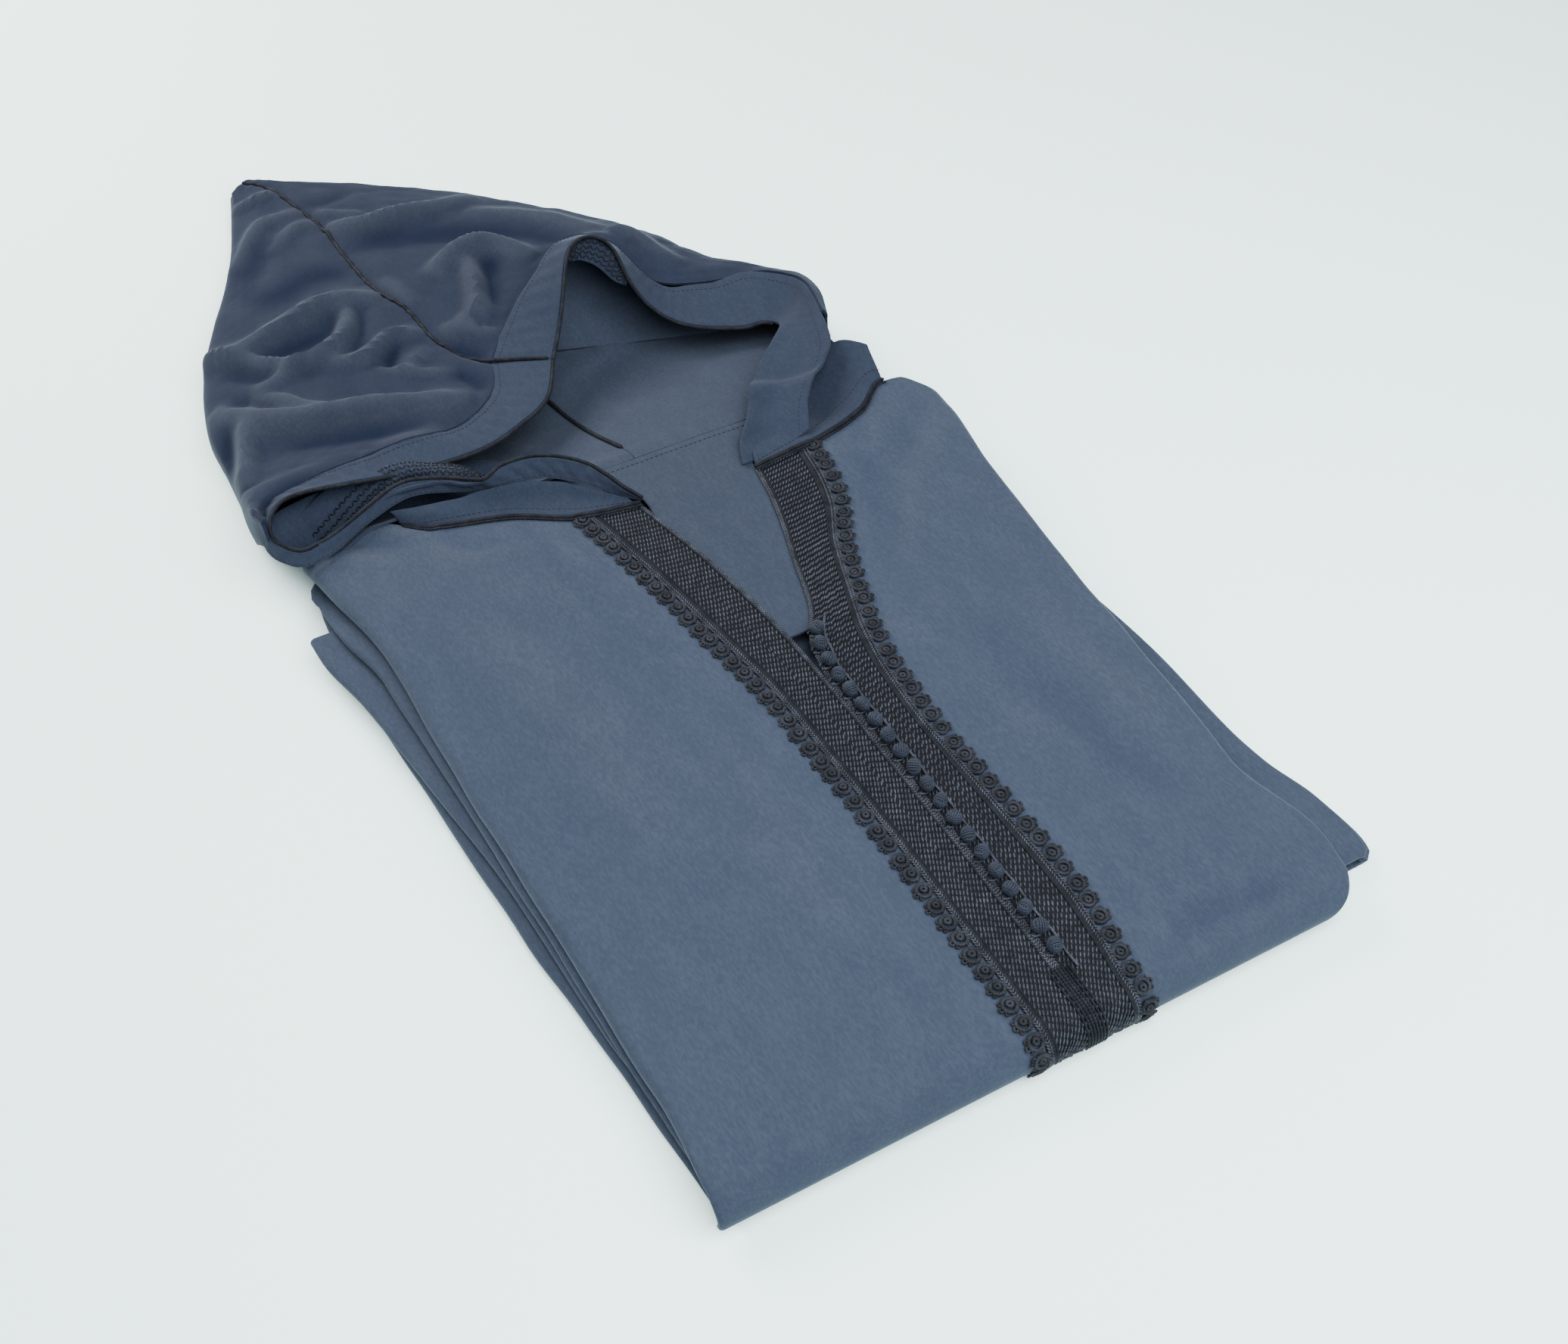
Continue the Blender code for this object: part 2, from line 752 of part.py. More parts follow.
def make_buttons():
    """Knotted ball buttons in one row along the inner edge of the left band."""
    first_along, last_along = BUTTONS_ALONG
    for number in range(BUTTON_COUNT):
        share = number / (BUTTON_COUNT - 1)
        along = first_along + (last_along - first_along) * share
        x = look_up(LEFT_BAND, along, 1) + BUTTON
        lift = CLOTH + BRAID + 3 * SEAM_GAP + BUTTON
        point = place(pile_point(x, along, lift))
        name = "button_%02d" % (number + 1)
        mesh = bpy.data.meshes.new(name)
        ball = bmesh.new()
        bmesh.ops.create_uvsphere(ball, u_segments=8, v_segments=6, radius=BUTTON * MM)
        bmesh.ops.translate(ball, verts=ball.verts, vec=point)
        ball.to_mesh(mesh)
        ball.free()
        mesh.shade_smooth()
        add_object(name, mesh, CHARCOAL, 0.8)


# ---------------------------------------------------------------- the hood

NECK_CLEAR = 2.2             # from the far edge of a front to the strip beyond it
HEM_CLEAR = 1.8              # from the join line to the hood's edge
RIM_CLEAR = 0.8              # from the free edge of the hem to its piping
CROWN_CLEAR = 0.4            # from the crown seam to the cloth on each side of it
BACK_SEAM_CLEAR = 0.3        # the same for the seam of the under layer
HOOD_SHARES = (0.0, 0.2, 0.42, 0.64, 0.82)     # places across the hood, from the crown seam outwards
HOOD_BULGE = 0.05            # rise of the cloth between its seam and its outer fold, as a share
FOLD_LIFT = (1.5, 1.45)      # top of the outer fold as shares of its middle's height
UNDER_LIFTS = [
    # beyond the neckline, lift
    (7.0, 0.2),
    (1.2, SEAM_GAP),
]
NECK_CORD_RIGHT = (-158, -20)
NECK_CORD_LEFT = (60, 188)


def beside(line, across, number, distance):
    """Point of a line moved square to it, towards another point on the strip it borders."""
    here = Vector(line[number])
    run = Vector(line[min(number + 1, len(line) - 1)]) - Vector(line[max(number - 1, 0)])
    width = Vector(across) - here
    width -= run * (width.dot(run) / run.dot(run))
    return tuple(here + width.normalized() * distance)


def hood_rows(hem, joins, sides, side):
    """Rows of one side of the hood, from its point to the neck, each from the crown seam outwards."""
    starts = [(x + side * CROWN_CLEAR, y, z) for x, y, z in CROWN[:-1]]
    half_rows = spline(hem, 2 * len(hem) - 1)
    joined = [row[3:] for row in half_rows]
    for number in joins:
        starts.append(beside(joined, half_rows[number][:3], number, -HEM_CLEAR))
    rows = []
    for start, (x1, y1, z1, foot) in zip(starts, sides):
        reach = math.hypot(x1 - start[0], y1 - start[1])
        inward_x, inward_y = (start[0] - x1) / reach, (start[1] - y1) / reach
        tuck = min(3.0, 0.2 * reach)
        row = []
        for share in HOOD_SHARES:
            x, y, z = between(start, (x1, y1, z1 * FOLD_LIFT[0]), share)
            row.append((x, y, z + HOOD_BULGE * reach * math.sin(math.pi * share)))
        row.append((x1 + inward_x * tuck, y1 + inward_y * tuck, z1 * FOLD_LIFT[1]))
        row.append((x1, y1, z1))
        row.append((x1 + inward_x * tuck * 0.5, y1 + inward_y * tuck * 0.5, foot))
        rows.append(row)
    return rows


def under_rows(outer, side):
    """Rows of one side of the hood's under layer, from the neckline back to the point."""
    seam = [(x + side * BACK_SEAM_CLEAR, y, z) for x, y, z in BACK_SEAM]
    row_count, steps = 17, 5
    rows = []
    for inner_point, outer_point in zip(spline(seam, row_count), spline(outer, row_count)):
        row = [between(inner_point, outer_point, step / steps) for step in range(steps + 1)]
        rows.append([(x, y, max(z, 0.0)) for x, y, z in row])
    end_x = NECKLINE_LEFT if side > 0 else NECKLINE_RIGHT
    start_x = side * BACK_SEAM_CLEAR
    for beyond, lift in UNDER_LIFTS:
        row = []
        for step in range(steps + 1):
            x = start_x + (end_x - start_x) * step / steps
            row.append(pile_point(x, NECKLINE_ALONG + beyond, lift))
        rows.append(row)
    return [row if side < 0 else list(reversed(row)) for row in rows]


def ribbon_rows(hem):
    """Rows across a hem, from its free edge to its join."""
    rows = []
    for row in spline(hem, 2 * len(hem) - 1):
        rows.append([row[:3], between(row[:3], row[3:], 0.5), row[3:]])
    return rows


def neck_strip_rows(table, top_line):
    """Rows of a strip that stands along the neck seam, edge to edge with the front."""
    rows = []
    for x, top_x, top_y, top_z in spline(table, 9):
        y = look_up(top_line, x, 1) + NECK_CLEAR
        seam = pile_point(x, along_of(x, y), CLOTH + SEAM_GAP)
        top = (top_x, top_y, top_z)
        rows.append([seam, between(seam, top, 0.5), top])
    return rows


def make_hood():
    """Both sides of the hood, their hems, neck strips and the under layer that lies on the surface."""
    add_cloth("hood_right", hood_rows(HEM_RIGHT, HOOD_RIGHT_JOINS, HOOD_RIGHT_SIDE, -1), CLOTH, SLATE)
    rows = hood_rows(HEM_LEFT, HOOD_LEFT_JOINS, HOOD_LEFT_SIDE, 1)
    add_cloth("hood_left", [list(reversed(row)) for row in rows], CLOTH, SLATE)
    add_cloth("hood_hem_right", ribbon_rows(HEM_RIGHT), HEM, SLATE, grow=0.0)
    rows = ribbon_rows(HEM_LEFT)
    add_cloth("hood_hem_left", [list(reversed(row)) for row in rows], HEM, SLATE, grow=0.0)
    rows = neck_strip_rows(NECK_RIGHT, FRONT_RIGHT_TOP)
    add_cloth("hood_neck_right", [list(reversed(row)) for row in rows], CLOTH, SLATE)
    add_cloth("hood_neck_left", neck_strip_rows(NECK_LEFT, FRONT_LEFT_TOP), CLOTH, SLATE)
    add_cloth("hood_inside_right", under_rows(UNDER_RIGHT, -1), CLOTH, SLATE_INSIDE)
    add_cloth("hood_inside_left", under_rows(UNDER_LEFT, 1), CLOTH, SLATE_INSIDE)


def rim_points(hem, shown):
    """Line just outside the free edge of a hem, along the first rows of its table."""
    rows = spline(hem, 2 * len(hem) - 1)[:2 * shown - 1]
    rims = [row[:3] for row in rows]
    reach = RIM_CORD + RIM_CLEAR
    return [beside(rims, row[3:], number, -reach) for number, row in enumerate(rows)]


def neck_points(top_line, ends):
    """Line of the cord that covers the seam between a front and the hood."""
    first_x, last_x = ends
    steps = 14
    points = []
    for step in range(steps + 1):
        x = first_x + (last_x - first_x) * step / steps
        y = look_up(top_line, x, 1)
        lift = CLOTH + 2 * SEAM_GAP + NECK_CORD
        points.append(pile_point(x, along_of(x, y), lift))
    return points


def make_cords():
    """Cords on the crown seam, the hood's inner seam and the neck seam, and piping on the rim."""
    on_seam = CLOTH + SEAM_CORD + SEAM_GAP
    crown = [(x, y, z + on_seam) for x, y, z in CROWN]
    back_seam = [(x, y, z + on_seam) for x, y, z in BACK_SEAM[SEAM_CORD_FROM:]]
    add_cord("crown_cord", spline(crown, 22), SEAM_CORD)
    add_cord("hood_seam_cord", spline(back_seam, 10), SEAM_CORD)
    add_cord("rim_piping_right", rim_points(HEM_RIGHT, len(HEM_RIGHT)), RIM_CORD)
    add_cord("rim_piping_left", rim_points(HEM_LEFT, RIM_LEFT_SHOWN), RIM_CORD)
    add_cord("neck_cord_right", neck_points(FRONT_RIGHT_TOP, NECK_CORD_RIGHT), NECK_CORD)
    add_cord("neck_cord_left", neck_points(FRONT_LEFT_TOP, NECK_CORD_LEFT), NECK_CORD)


def main():
    """Clear the scene and make the robe."""
    for old in list(bpy.data.objects):
        bpy.data.objects.remove(old, do_unlink=True)
    bpy.context.scene.collection.children.link(collection)
    make_folded_layers()
    make_fronts()
    make_back()
    make_sleeves()
    make_bands()
    make_buttons()
    make_hood()
    make_cords()


main()
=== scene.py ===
"""Looks of the djellaba robe: a hooded robe in brushed cloth, folded into a flat pile, with braid down
its front, looped edging, knotted buttons and cords on its seams.

Points are in the robe's layout frame, in millimetres, and place() turns them into metres: x runs across
the pile, 0 on the buttoned front opening, with the robe's own right side at negative x; y runs from the
near fold (0) towards the point of the hood; z is up from the surface that the robe lies on.
"""
import json
import math

import bpy
import numpy as np
from bpy.props import FloatProperty, FloatVectorProperty, PointerProperty
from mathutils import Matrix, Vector

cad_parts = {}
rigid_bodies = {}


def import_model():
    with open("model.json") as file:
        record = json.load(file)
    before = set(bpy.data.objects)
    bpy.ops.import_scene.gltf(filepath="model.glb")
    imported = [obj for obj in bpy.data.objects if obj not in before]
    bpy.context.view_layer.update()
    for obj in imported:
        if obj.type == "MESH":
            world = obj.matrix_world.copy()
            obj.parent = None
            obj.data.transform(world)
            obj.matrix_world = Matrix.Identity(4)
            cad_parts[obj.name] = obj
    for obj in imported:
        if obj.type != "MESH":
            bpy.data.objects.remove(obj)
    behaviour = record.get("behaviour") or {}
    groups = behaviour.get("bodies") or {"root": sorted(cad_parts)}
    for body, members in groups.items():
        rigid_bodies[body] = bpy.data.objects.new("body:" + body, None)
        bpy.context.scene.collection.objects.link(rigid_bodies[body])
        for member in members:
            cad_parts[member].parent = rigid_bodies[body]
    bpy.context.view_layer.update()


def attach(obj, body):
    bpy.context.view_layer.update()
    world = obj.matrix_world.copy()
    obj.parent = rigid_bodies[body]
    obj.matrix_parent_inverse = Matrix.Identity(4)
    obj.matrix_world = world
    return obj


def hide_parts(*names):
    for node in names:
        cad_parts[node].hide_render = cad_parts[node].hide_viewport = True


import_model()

bl_info = {
    "name": "Folded djellaba robe",
    "version": (1, 0, 0),
    "blender": (4, 5, 0),
    "location": "3D View > Sidebar > Robe",
    "description": "Dresses the packed model of a folded hooded robe in cloth, braid, cords and buttons",
    "category": "Object",
}

MM = 0.001
BODY = "root"

# ---------------------------------------------------------------- sizes shared with the frame

CENTRE_X = -13.5
CENTRE_Y = 488.4
CLOTH = 2.0
HEM = 2.4
SEAM_GAP = 0.4
BRAID = 1.3
BUTTON = 4.6
BUTTON_COUNT = 20
NECK_CORD = 1.5
RIM_CORD = 1.3
SEAM_CORD = 1.2
ROLL = 13.0
FRONT_SLANT = -0.065
SHOULDER_DROP = 5.0
V_POINT = 270
NECKLINE_ALONG = 478
NECKLINE_RIGHT = -34
NECKLINE_LEFT = 96

# Rise of the pile above the near fold's thickness, along y.
PILE_RISE = [
    # along, rise
    (0, 0.0),
    (60, 6.0),
    (140, 12.0),
    (250, 16.5),
    (380, 17.0),
    (450, 14.5),
    (520, 9.0),
]

# Side edges of the top layer; a negative "along" is an angle round the near fold.
TOP_EDGES = [
    # along, right_x, left_x
    (-115, -219, 160),
    (-60, -219, 171),
    (0, -218, 179),
    (30, -215, 184),
    (55, -214, 181),
    (90, -214, 175),
    (130, -214, 178),
    (240, -215, 185),
    (310, -213, 194),
    (370, -212, 201),
    (440, -220, 213),
    (515, -231, 220),
]

# Far edge of each front, where the neck seam and the shoulders run.
FRONT_RIGHT_TOP = [
    # x, y
    (-235, 524),
    (-205, 529),
    (-180, 529),
    (-160, 519),
    (-144, 505),
    (-96, 483),
    (-55, 455),
    (-20, 446),
]
FRONT_LEFT_TOP = [
    (58, 436),
    (107, 439),
    (154, 451),
    (186, 472),
    (200, 470),
    (214, 446),
    (222, 438),
]

# Inner and outer edges of the two braid bands.
RIGHT_BAND = [
    # along, outer_x, inner_x
    (0, -29.5, -0.4),
    (60, -29.5, -0.4),
    (250, -32, -0.4),
    (285, -36, -1),
    (350, -43, -7),
    (432, -55, -20),
]
LEFT_BAND = [
    # along, inner_x, outer_x
    (0, 0.4, 29),
    (25, 0.4, 33),
    (60, 0.4, 36),
    (190, 0.4, 33),
    (230, 0.4, 36),
    (266, 5, 43),
    (300, 23, 54),
    (340, 36, 69),
    (376, 48, 88),
    (420, 60, 101),
]

# Layers of the folded stack as shares of its height, and their edges.
SKIRT_TOP = 0.25
SLEEVE_LIFTS = (0.26, 0.46)
SIDE_LOW = 0.47
RIGHT_LAYERS = [
    # along, skirt_x, side_x, sleeve_x
    (0, -214, -213, -208),
    (40, -216, -215, -210),
    (110, -220, -216, -217),
    (210, -226, -217, -219),
    (300, -228, -218, -227),
    (380, -231, -219, -235),
    (430, -230, -226, -243),
    (500, -222, -230, -243),
]
LEFT_SLEEVE = [
    # along, outer_x
    (8, 208),
    (14, 215),
    (26, 217),
    (55, 215),
    (90, 207),
    (115, 205),
    (190, 208),
    (240, 206),
    (290, 196),
]
LEFT_SLEEVE_TOP = 14.0
FLAP = 8.0               # cloth turned under at the side edges

# Crown seam of the hood, from its point to the forehead.
CROWN = [
    # x, y, z
    (-98, 983, 12),
    (-86, 967, 13),
    (-75, 919, 17),
    (-70, 870, 21),
    (-71, 820, 26),
    (-70, 770, 30),
    (-61, 725, 34),
    (-58, 678, 35),
    (-38, 641, 36),
]
# Hem round the face opening: free edge (rim) and the line where it joins the hood.
HEM_RIGHT = [
    # rim_x, rim_y, rim_z, join_x, join_y, join_z
    (0.5, 616.5, 38, -37.6, 639, 35),
    (-21, 581, 40, -50, 607, 38),
    (-49, 563, 42, -71, 588, 41),
    (-80, 552, 44, -98, 578, 44),
    (-116, 550, 47, -132, 578, 47),
    (-144, 553, 49, -158, 578, 49),
    (-170, 558, 51, -182, 579, 49),
    (-200, 565, 52, -210, 579, 46),
    (-219, 566, 51, -228, 575, 43),
    (-231, 554, 49, -237, 558, 40),
    (-235, 538, 47, -239, 535, 39),
    (-225, 521, 46, -228, 515, 40),
    (-213, 520, 46, -214, 513, 40),
    (-199, 522, 47, -200, 516, 41),
    (-181, 528, 49, -183, 523, 43),
    (-153, 537, 52, -155, 531, 45),
    (-137, 535, 53, -136, 529, 46),
    (-116, 522, 54, -112, 516, 47),
    (-100, 509, 56, -94, 508, 49),
    (-88, 512, 58, -80, 503, 50),
    (-70, 509, 60, -64, 496, 51),
    (-53, 498, 61, -52, 485, 51),
    (-38, 480, 60, -41, 472, 51),
    (-27, 458, 54, -31, 461, 47),
    (-18, 448, 48, -22, 453, 47),
]
HEM_LEFT = [
    (1.3, 617.3, 38, -36.8, 640, 35),
    (17, 637, 46, -20, 658, 38),
    (32, 656, 60, 4, 678, 46),
    (45, 675, 70, 29, 692, 56),
    (58, 685, 75, 50, 704, 63),
    (73, 684, 75, 74, 706, 62),
    (83, 672, 68, 93, 695, 54),
    (84, 653, 55, 101, 672, 44),
    (88, 634, 43, 108, 655, 38),
    (98, 615, 36, 116, 647, 36),
    (113, 600, 33, 130, 642, 36),
    (140, 582, 33, 149, 634, 37),
    (158, 570, 37, 178, 620, 42),
    (156, 559, 41, 192, 594, 48),
    (143, 547, 44, 189, 570, 53),
    (130, 536, 46, 181, 543, 55),
    (112, 519, 48, 171, 515, 55),
    (99, 506, 50, 157, 500, 55),
    (88, 490, 50, 139, 486, 54),
    (76, 474, 50, 124, 471, 52),
    (63, 460, 48, 118, 461, 49),
    (55, 443, 45.5, 111, 449, 46),
]

# Outermost line of each side of the hood, from its point towards the neck: one row for each crown
# row, then one for each place on the hem named in the list of joins, counted in half rows.
HOOD_RIGHT_JOINS = (0, 2, 4, 6, 8, 12, 14, 15, 17, 19)
HOOD_RIGHT_SIDE = [
    # x, y, z, foot_z
    (-110, 976, 6, 2.8),
    (-122, 941, 7, 2.8),
    (-140, 893, 9, 2.8),
    (-160, 852, 10, 2.8),
    (-184, 808, 12, 2.8),
    (-207, 762, 13, 2.8),
    (-221, 722, 15, 2.8),
    (-230, 682, 17, 2.8),
    (-231, 655, 19, 2.8),
    (-232, 640, 20, 2.8),
    (-233, 627, 21, 2.8),
    (-234, 615, 23, 2.8),
    (-235, 606, 24, 5),
    (-237, 594, 28, 9),
    (-239, 580, 32, 16),
    (-240, 568, 35, 22),
    (-239, 553, 41, 33),
    (-236, 541, 44, 40),
]
HOOD_LEFT_JOINS = (0, 2, 4, 6, 8, 10, 11, 12, 13, 14, 16, 22, 24, 25, 26, 27, 28, 30)
HOOD_LEFT_SIDE = [
    # x, y, z, foot_z
    (-92, 988, 6, 2.8),
    (-74, 972, 8, 2.8),
    (-28, 936, 10, 2.8),
    (16, 897, 11, 2.8),
    (48, 867, 12, 2.8),
    (70, 843, 12, 2.8),
    (84, 827, 12, 2.8),
    (94, 815, 12, 2.8),
    (103, 804, 13, 2.8),
    (118, 783, 13, 2.8),
    (130, 765, 14, 2.8),
    (139, 747, 14, 2.8),
    (145, 734, 15, 2.8),
    (149, 724, 15, 2.8),
    (152, 716, 16, 2.8),
    (155, 707, 16, 2.8),
    (157, 700, 16, 2.8),
    (160, 693, 17, 2.8),
    (168, 672, 19, 2.8),
    (182, 643, 24, 2.8),
    (188, 629, 24, 2.8),
    (195, 618, 25, 2.8),
    (201, 604, 27, 2.8),
    (202, 588, 29, 2.8),
    (199, 571, 30, 2.8),
    (184, 541, 34, 2.8),
]
# The hood's under layer: centre-back seam from its point to the neckline, and outer edges beside it.
BACK_SEAM = [
    # x, y, z
    (-96, 972, 0),
    (-80, 930, 0),
    (-66, 850, 0),
    (-48, 760, 0),
    (-22, 680, 0),
    (-6, 625, 0),
    (-4, 585, 6),
    (-4, 545, 21),
    (0, 511, 33),
]
UNDER_RIGHT = [
    (-107, 973, 0),
    (-121, 940, 0),
    (-158, 852, 0),
    (-206, 761, 0),
    (-228, 690, 0),
    (-229, 640, 0),
    (-226, 610, 0),
    (-219, 582, 0),
    (-208, 556, 0),
]
UNDER_LEFT = [
    (-92, 984, 0),
    (-68, 966, 0),
    (28, 885, 0),
    (109, 793, 0),
    (154, 705, 0),
    (175, 650, 0),
    (180, 620, 5),
    (172, 570, 20),
    (130, 516, 33),
]


SLEEVE_DEPTH = 30
SLEEVE_LEFT_TUCK = 24
SLEEVE_LEFT_SHARE = 0.40
SLEEVE_RIGHT_ENDS = (46, 446)
SLEEVE_LEFT_ENDS = (9, 290)
NECK_CORD_RIGHT = (-158, -20)
NECK_CORD_LEFT = (60, 188)
BUTTONS_ALONG = (278, 30)

# ---------------------------------------------------------------- soft folds in the cloth

# Ridges and troughs of the hood: height, half width left and right of the run, and the run's points.
HOOD_FOLDS = [
    (2.5, 5, 6, [(-78, 950), (-94, 948), (-108, 946), (-120, 945)]),
    (3.0, 8, 6, [(-74, 912), (-93, 907), (-109, 906), (-130, 885), (-147, 862)]),
    (-3.5, 14, 14, [(-110, 885), (-125, 864), (-143, 840), (-154, 800)]),
    (2.5, 7, 6, [(-70, 882), (-84, 886), (-97, 879), (-118, 862)]),
    (-4.5, 16, 14, [(-76, 795), (-98, 806), (-127, 800), (-160, 790)]),
    (6.5, 11, 8, [(-212, 770), (-184, 752), (-160, 750), (-134, 755), (-114, 762), (-93, 760), (-72, 752)]),
    (-4.5, 9, 9, [(-190, 735), (-154, 727), (-123, 731), (-106, 744)]),
    (5.5, 7, 7, [(-192, 696), (-156, 702), (-134, 704), (-117, 711), (-106, 731), (-97, 752)]),
    (-4.0, 6, 6, [(-90, 750), (-95, 735), (-103, 717), (-118, 700)]),
    (4.0, 5, 7, [(-212, 772), (-190, 748), (-172, 726), (-160, 710), (-150, 699)]),
    (-3.5, 7, 7, [(-202, 738), (-182, 713), (-164, 700)]),
    (5.0, 6, 7, [(-142, 700), (-119, 685), (-102, 688), (-89, 697), (-78, 699), (-63, 695)]),
    (-5.0, 6, 6, [(-82, 698), (-90, 688), (-98, 674), (-104, 660)]),
    (2.5, 5, 5, [(-110, 670), (-91, 650), (-62, 636)]),
    (2.0, 5, 5, [(-66, 676), (-85, 663), (-98, 650)]),
    (3.5, 5, 6, [(-196, 694), (-179, 677), (-169, 658), (-152, 642)]),
    (-3.0, 6, 6, [(-210, 700), (-195, 690), (-187, 666)]),
    (7.0, 9, 13, [(-222, 702), (-203, 674), (-190, 657), (-175, 643), (-155, 632), (-137, 626), (-108, 614),
                  (-86, 609), (-66, 602)]),
    (-4.0, 14, 12, [(-208, 645), (-174, 616), (-138, 599), (-104, 592)]),
    (-6.0, 6, 7, [(-217, 680), (-224, 652), (-232, 618)]),
    (5.0, 7, 7, [(-210, 668), (-214, 650), (-224, 622), (-230, 600)]),
    (2.0, 10, 8, [(-150, 580), (-122, 578), (-100, 576)]),
    (-4.0, 7, 7, [(-64, 640), (-57, 624), (-56, 606)]),
    (-2.5, 6, 6, [(-72, 918), (-54, 909), (-30, 910)]),
    (2.0, 4, 5, [(-68, 898), (-56, 887), (-36, 868)]),
    (5.5, 9, 9, [(-70, 871), (-59, 863), (-45, 852), (-33, 849), (-9, 845), (16, 844), (52, 850)]),
    (-6.0, 15, 14, [(-68, 838), (-42, 824), (-12, 806), (19, 790), (49, 772), (70, 745)]),
    (3.0, 10, 12, [(30, 828), (72, 797), (97, 762), (110, 735)]),
    (6.5, 9, 11, [(-32, 748), (-19, 758), (1, 767), (21, 768), (34, 755), (46, 730)]),
    (-7.0, 8, 8, [(17, 752), (11, 739), (0, 714), (-12, 692)]),
    (5.0, 7, 7, [(2, 756), (-4, 738), (-9, 719), (-21, 692), (-36, 685), (-54, 686)]),
    (2.5, 4, 5, [(-54, 682), (-36, 675), (-16, 662)]),
    (-4.0, 6, 6, [(-56, 672), (-45, 657), (-34, 644)]),
    (2.0, 7, 7, [(-62, 776), (-58, 748), (-57, 725)]),
    (3.0, 8, 8, [(84, 740), (110, 715), (124, 690), (136, 664)]),
    (-2.5, 8, 8, [(60, 760), (92, 728), (108, 700)]),
]
# The same for the fronts, by x and by distance beyond the near fold.
FRONT_FOLDS = [
    (-1.6, 5, 9, [(-96, 456), (-93, 425), (-91, 388), (-87, 352), (-80, 328), (-68, 310), (-58, 300)]),
    (1.3, 9, 5, [(-104, 452), (-101, 420), (-98, 385), (-94, 350), (-86, 322)]),
    (0.9, 6, 6, [(-84, 448), (-79, 412), (-71, 380)]),
    (-1.5, 8, 8, [(-142, 474), (-128, 448), (-104, 446)]),
    (1.3, 10, 10, [(-158, 466), (-134, 438), (-110, 436)]),
    (-0.9, 14, 14, [(-98, 340), (-93, 300), (-90, 255)]),
    (-1.7, 8, 9, [(146, 436), (126, 390), (106, 345), (86, 305)]),
    (1.7, 7, 9, [(160, 402), (140, 366), (118, 330), (98, 300)]),
    (1.3, 6, 6, [(168, 446), (146, 420), (130, 400)]),
    (1.5, 10, 9, [(212, 430), (176, 394), (146, 366)]),
    (-1.3, 9, 9, [(190, 436), (160, 404), (140, 380)]),
    (1.2, 5, 5, [(50, 266), (64, 256), (78, 246)]),
    (1.0, 4, 4, [(52, 248), (70, 240), (86, 228)]),
    (-1.5, 16, 14, [(102, 262), (105, 200), (112, 145), (120, 108), (136, 78)]),
    (1.2, 14, 12, [(66, 190), (86, 156), (106, 120)]),
    (1.4, 16, 16, [(146, 250), (146, 190), (150, 130), (160, 90)]),
    (-2.4, 13, 9, [(60, -2), (84, 6), (108, 4), (140, -4)]),
    (1.6, 8, 8, [(64, 26), (62, 14), (60, 2)]),
    (-2.0, 10, 12, [(118, 16), (134, 4), (150, -8)]),
    (1.3, 22, 22, [(-150, 380), (-140, 280), (-134, 180)]),
    (-1.0, 24, 24, [(-186, 420), (-178, 300), (-172, 160)]),
    (1.1, 24, 20, [(-84, 210), (-80, 130), (-76, 60)]),
    (1.6, 7, 7, [(-212, 492), (-190, 474), (-170, 452)]),
    (-1.4, 7, 7, [(-204, 504), (-180, 488), (-160, 470)]),
    (1.4, 5, 5, [(-170, 500), (-160, 486), (-148, 476)]),
    (-1.2, 5, 5, [(-160, 502), (-150, 488), (-138, 480)]),
]
# The same for the inside of the hood and the inside of the back, by x and y.
INSIDE_FOLDS = [
    (2.6, 8, 8, [(-8, 620), (30, 640), (80, 650), (130, 640)]),
    (-1.6, 8, 8, [(-10, 600), (30, 616), (80, 622), (130, 606)]),
    (2.0, 7, 7, [(-60, 600), (-50, 570), (-34, 530)]),
    (2.6, 8, 8, [(-96, 600), (-80, 566), (-60, 530)]),
    (-1.4, 6, 6, [(-78, 610), (-66, 576), (-48, 534)]),
    (3.0, 9, 9, [(-150, 600), (-126, 570), (-100, 540)]),
    (1.8, 6, 6, [(20, 604), (22, 570), (26, 530)]),
    (-1.2, 8, 8, [(56, 600), (60, 566), (58, 524)]),
    (1.6, 8, 8, [(92, 600), (96, 566), (92, 520)]),
]

HOOD_CRESTS = 2.1            # the hood's crests and troughs, as shares of their table's heights
HOOD_TROUGHS = 1.0
FRONT_CRESTS = 1.5
WAVE_COUNT = 9
# Unevenness of laid cloth: height, spacing and seed.
FRONT_WAVES = (0.55, 46.0, 3)
FRONT_FINE = (0.12, 15.0, 5)
HOOD_WAVES = (0.7, 30.0, 11)
HOOD_FINE = (0.25, 11.0, 12)
LINING_WAVES = (0.6, 30.0, 15)
HEM_WAVES = (1.0, 26.0, 14)
NECK_STRIP_WAVES = (0.8, 16.0, 8)
LAYER_SWAY = (0.9, 60.0, 21)
FRONT_SWAY = (0.8, 70.0, 31)
GROOVE = (1.3, 3.0)          # depth and half width of the hood's crown seam
PUCKER = (0.5, 9.5, 9)       # height, spacing and reach of the puckers beside it


# ---------------------------------------------------------------- curves and surfaces

def place(points):
    """Layout millimetres to metres about the robe's origin."""
    points = np.asarray(points, float)
    return (points - (CENTRE_X, CENTRE_Y, 0.0)) * MM


def between(t, width, start, end, start_slope, end_slope):
    """Smooth curve from one value to the next by their slopes, at shares t of the width."""
    return ((1 + 2 * t) * (1 - t) ** 2 * start + t * (1 - t) ** 2 * width * start_slope
            + t * t * (3 - 2 * t) * end + t * t * (t - 1) * width * end_slope)


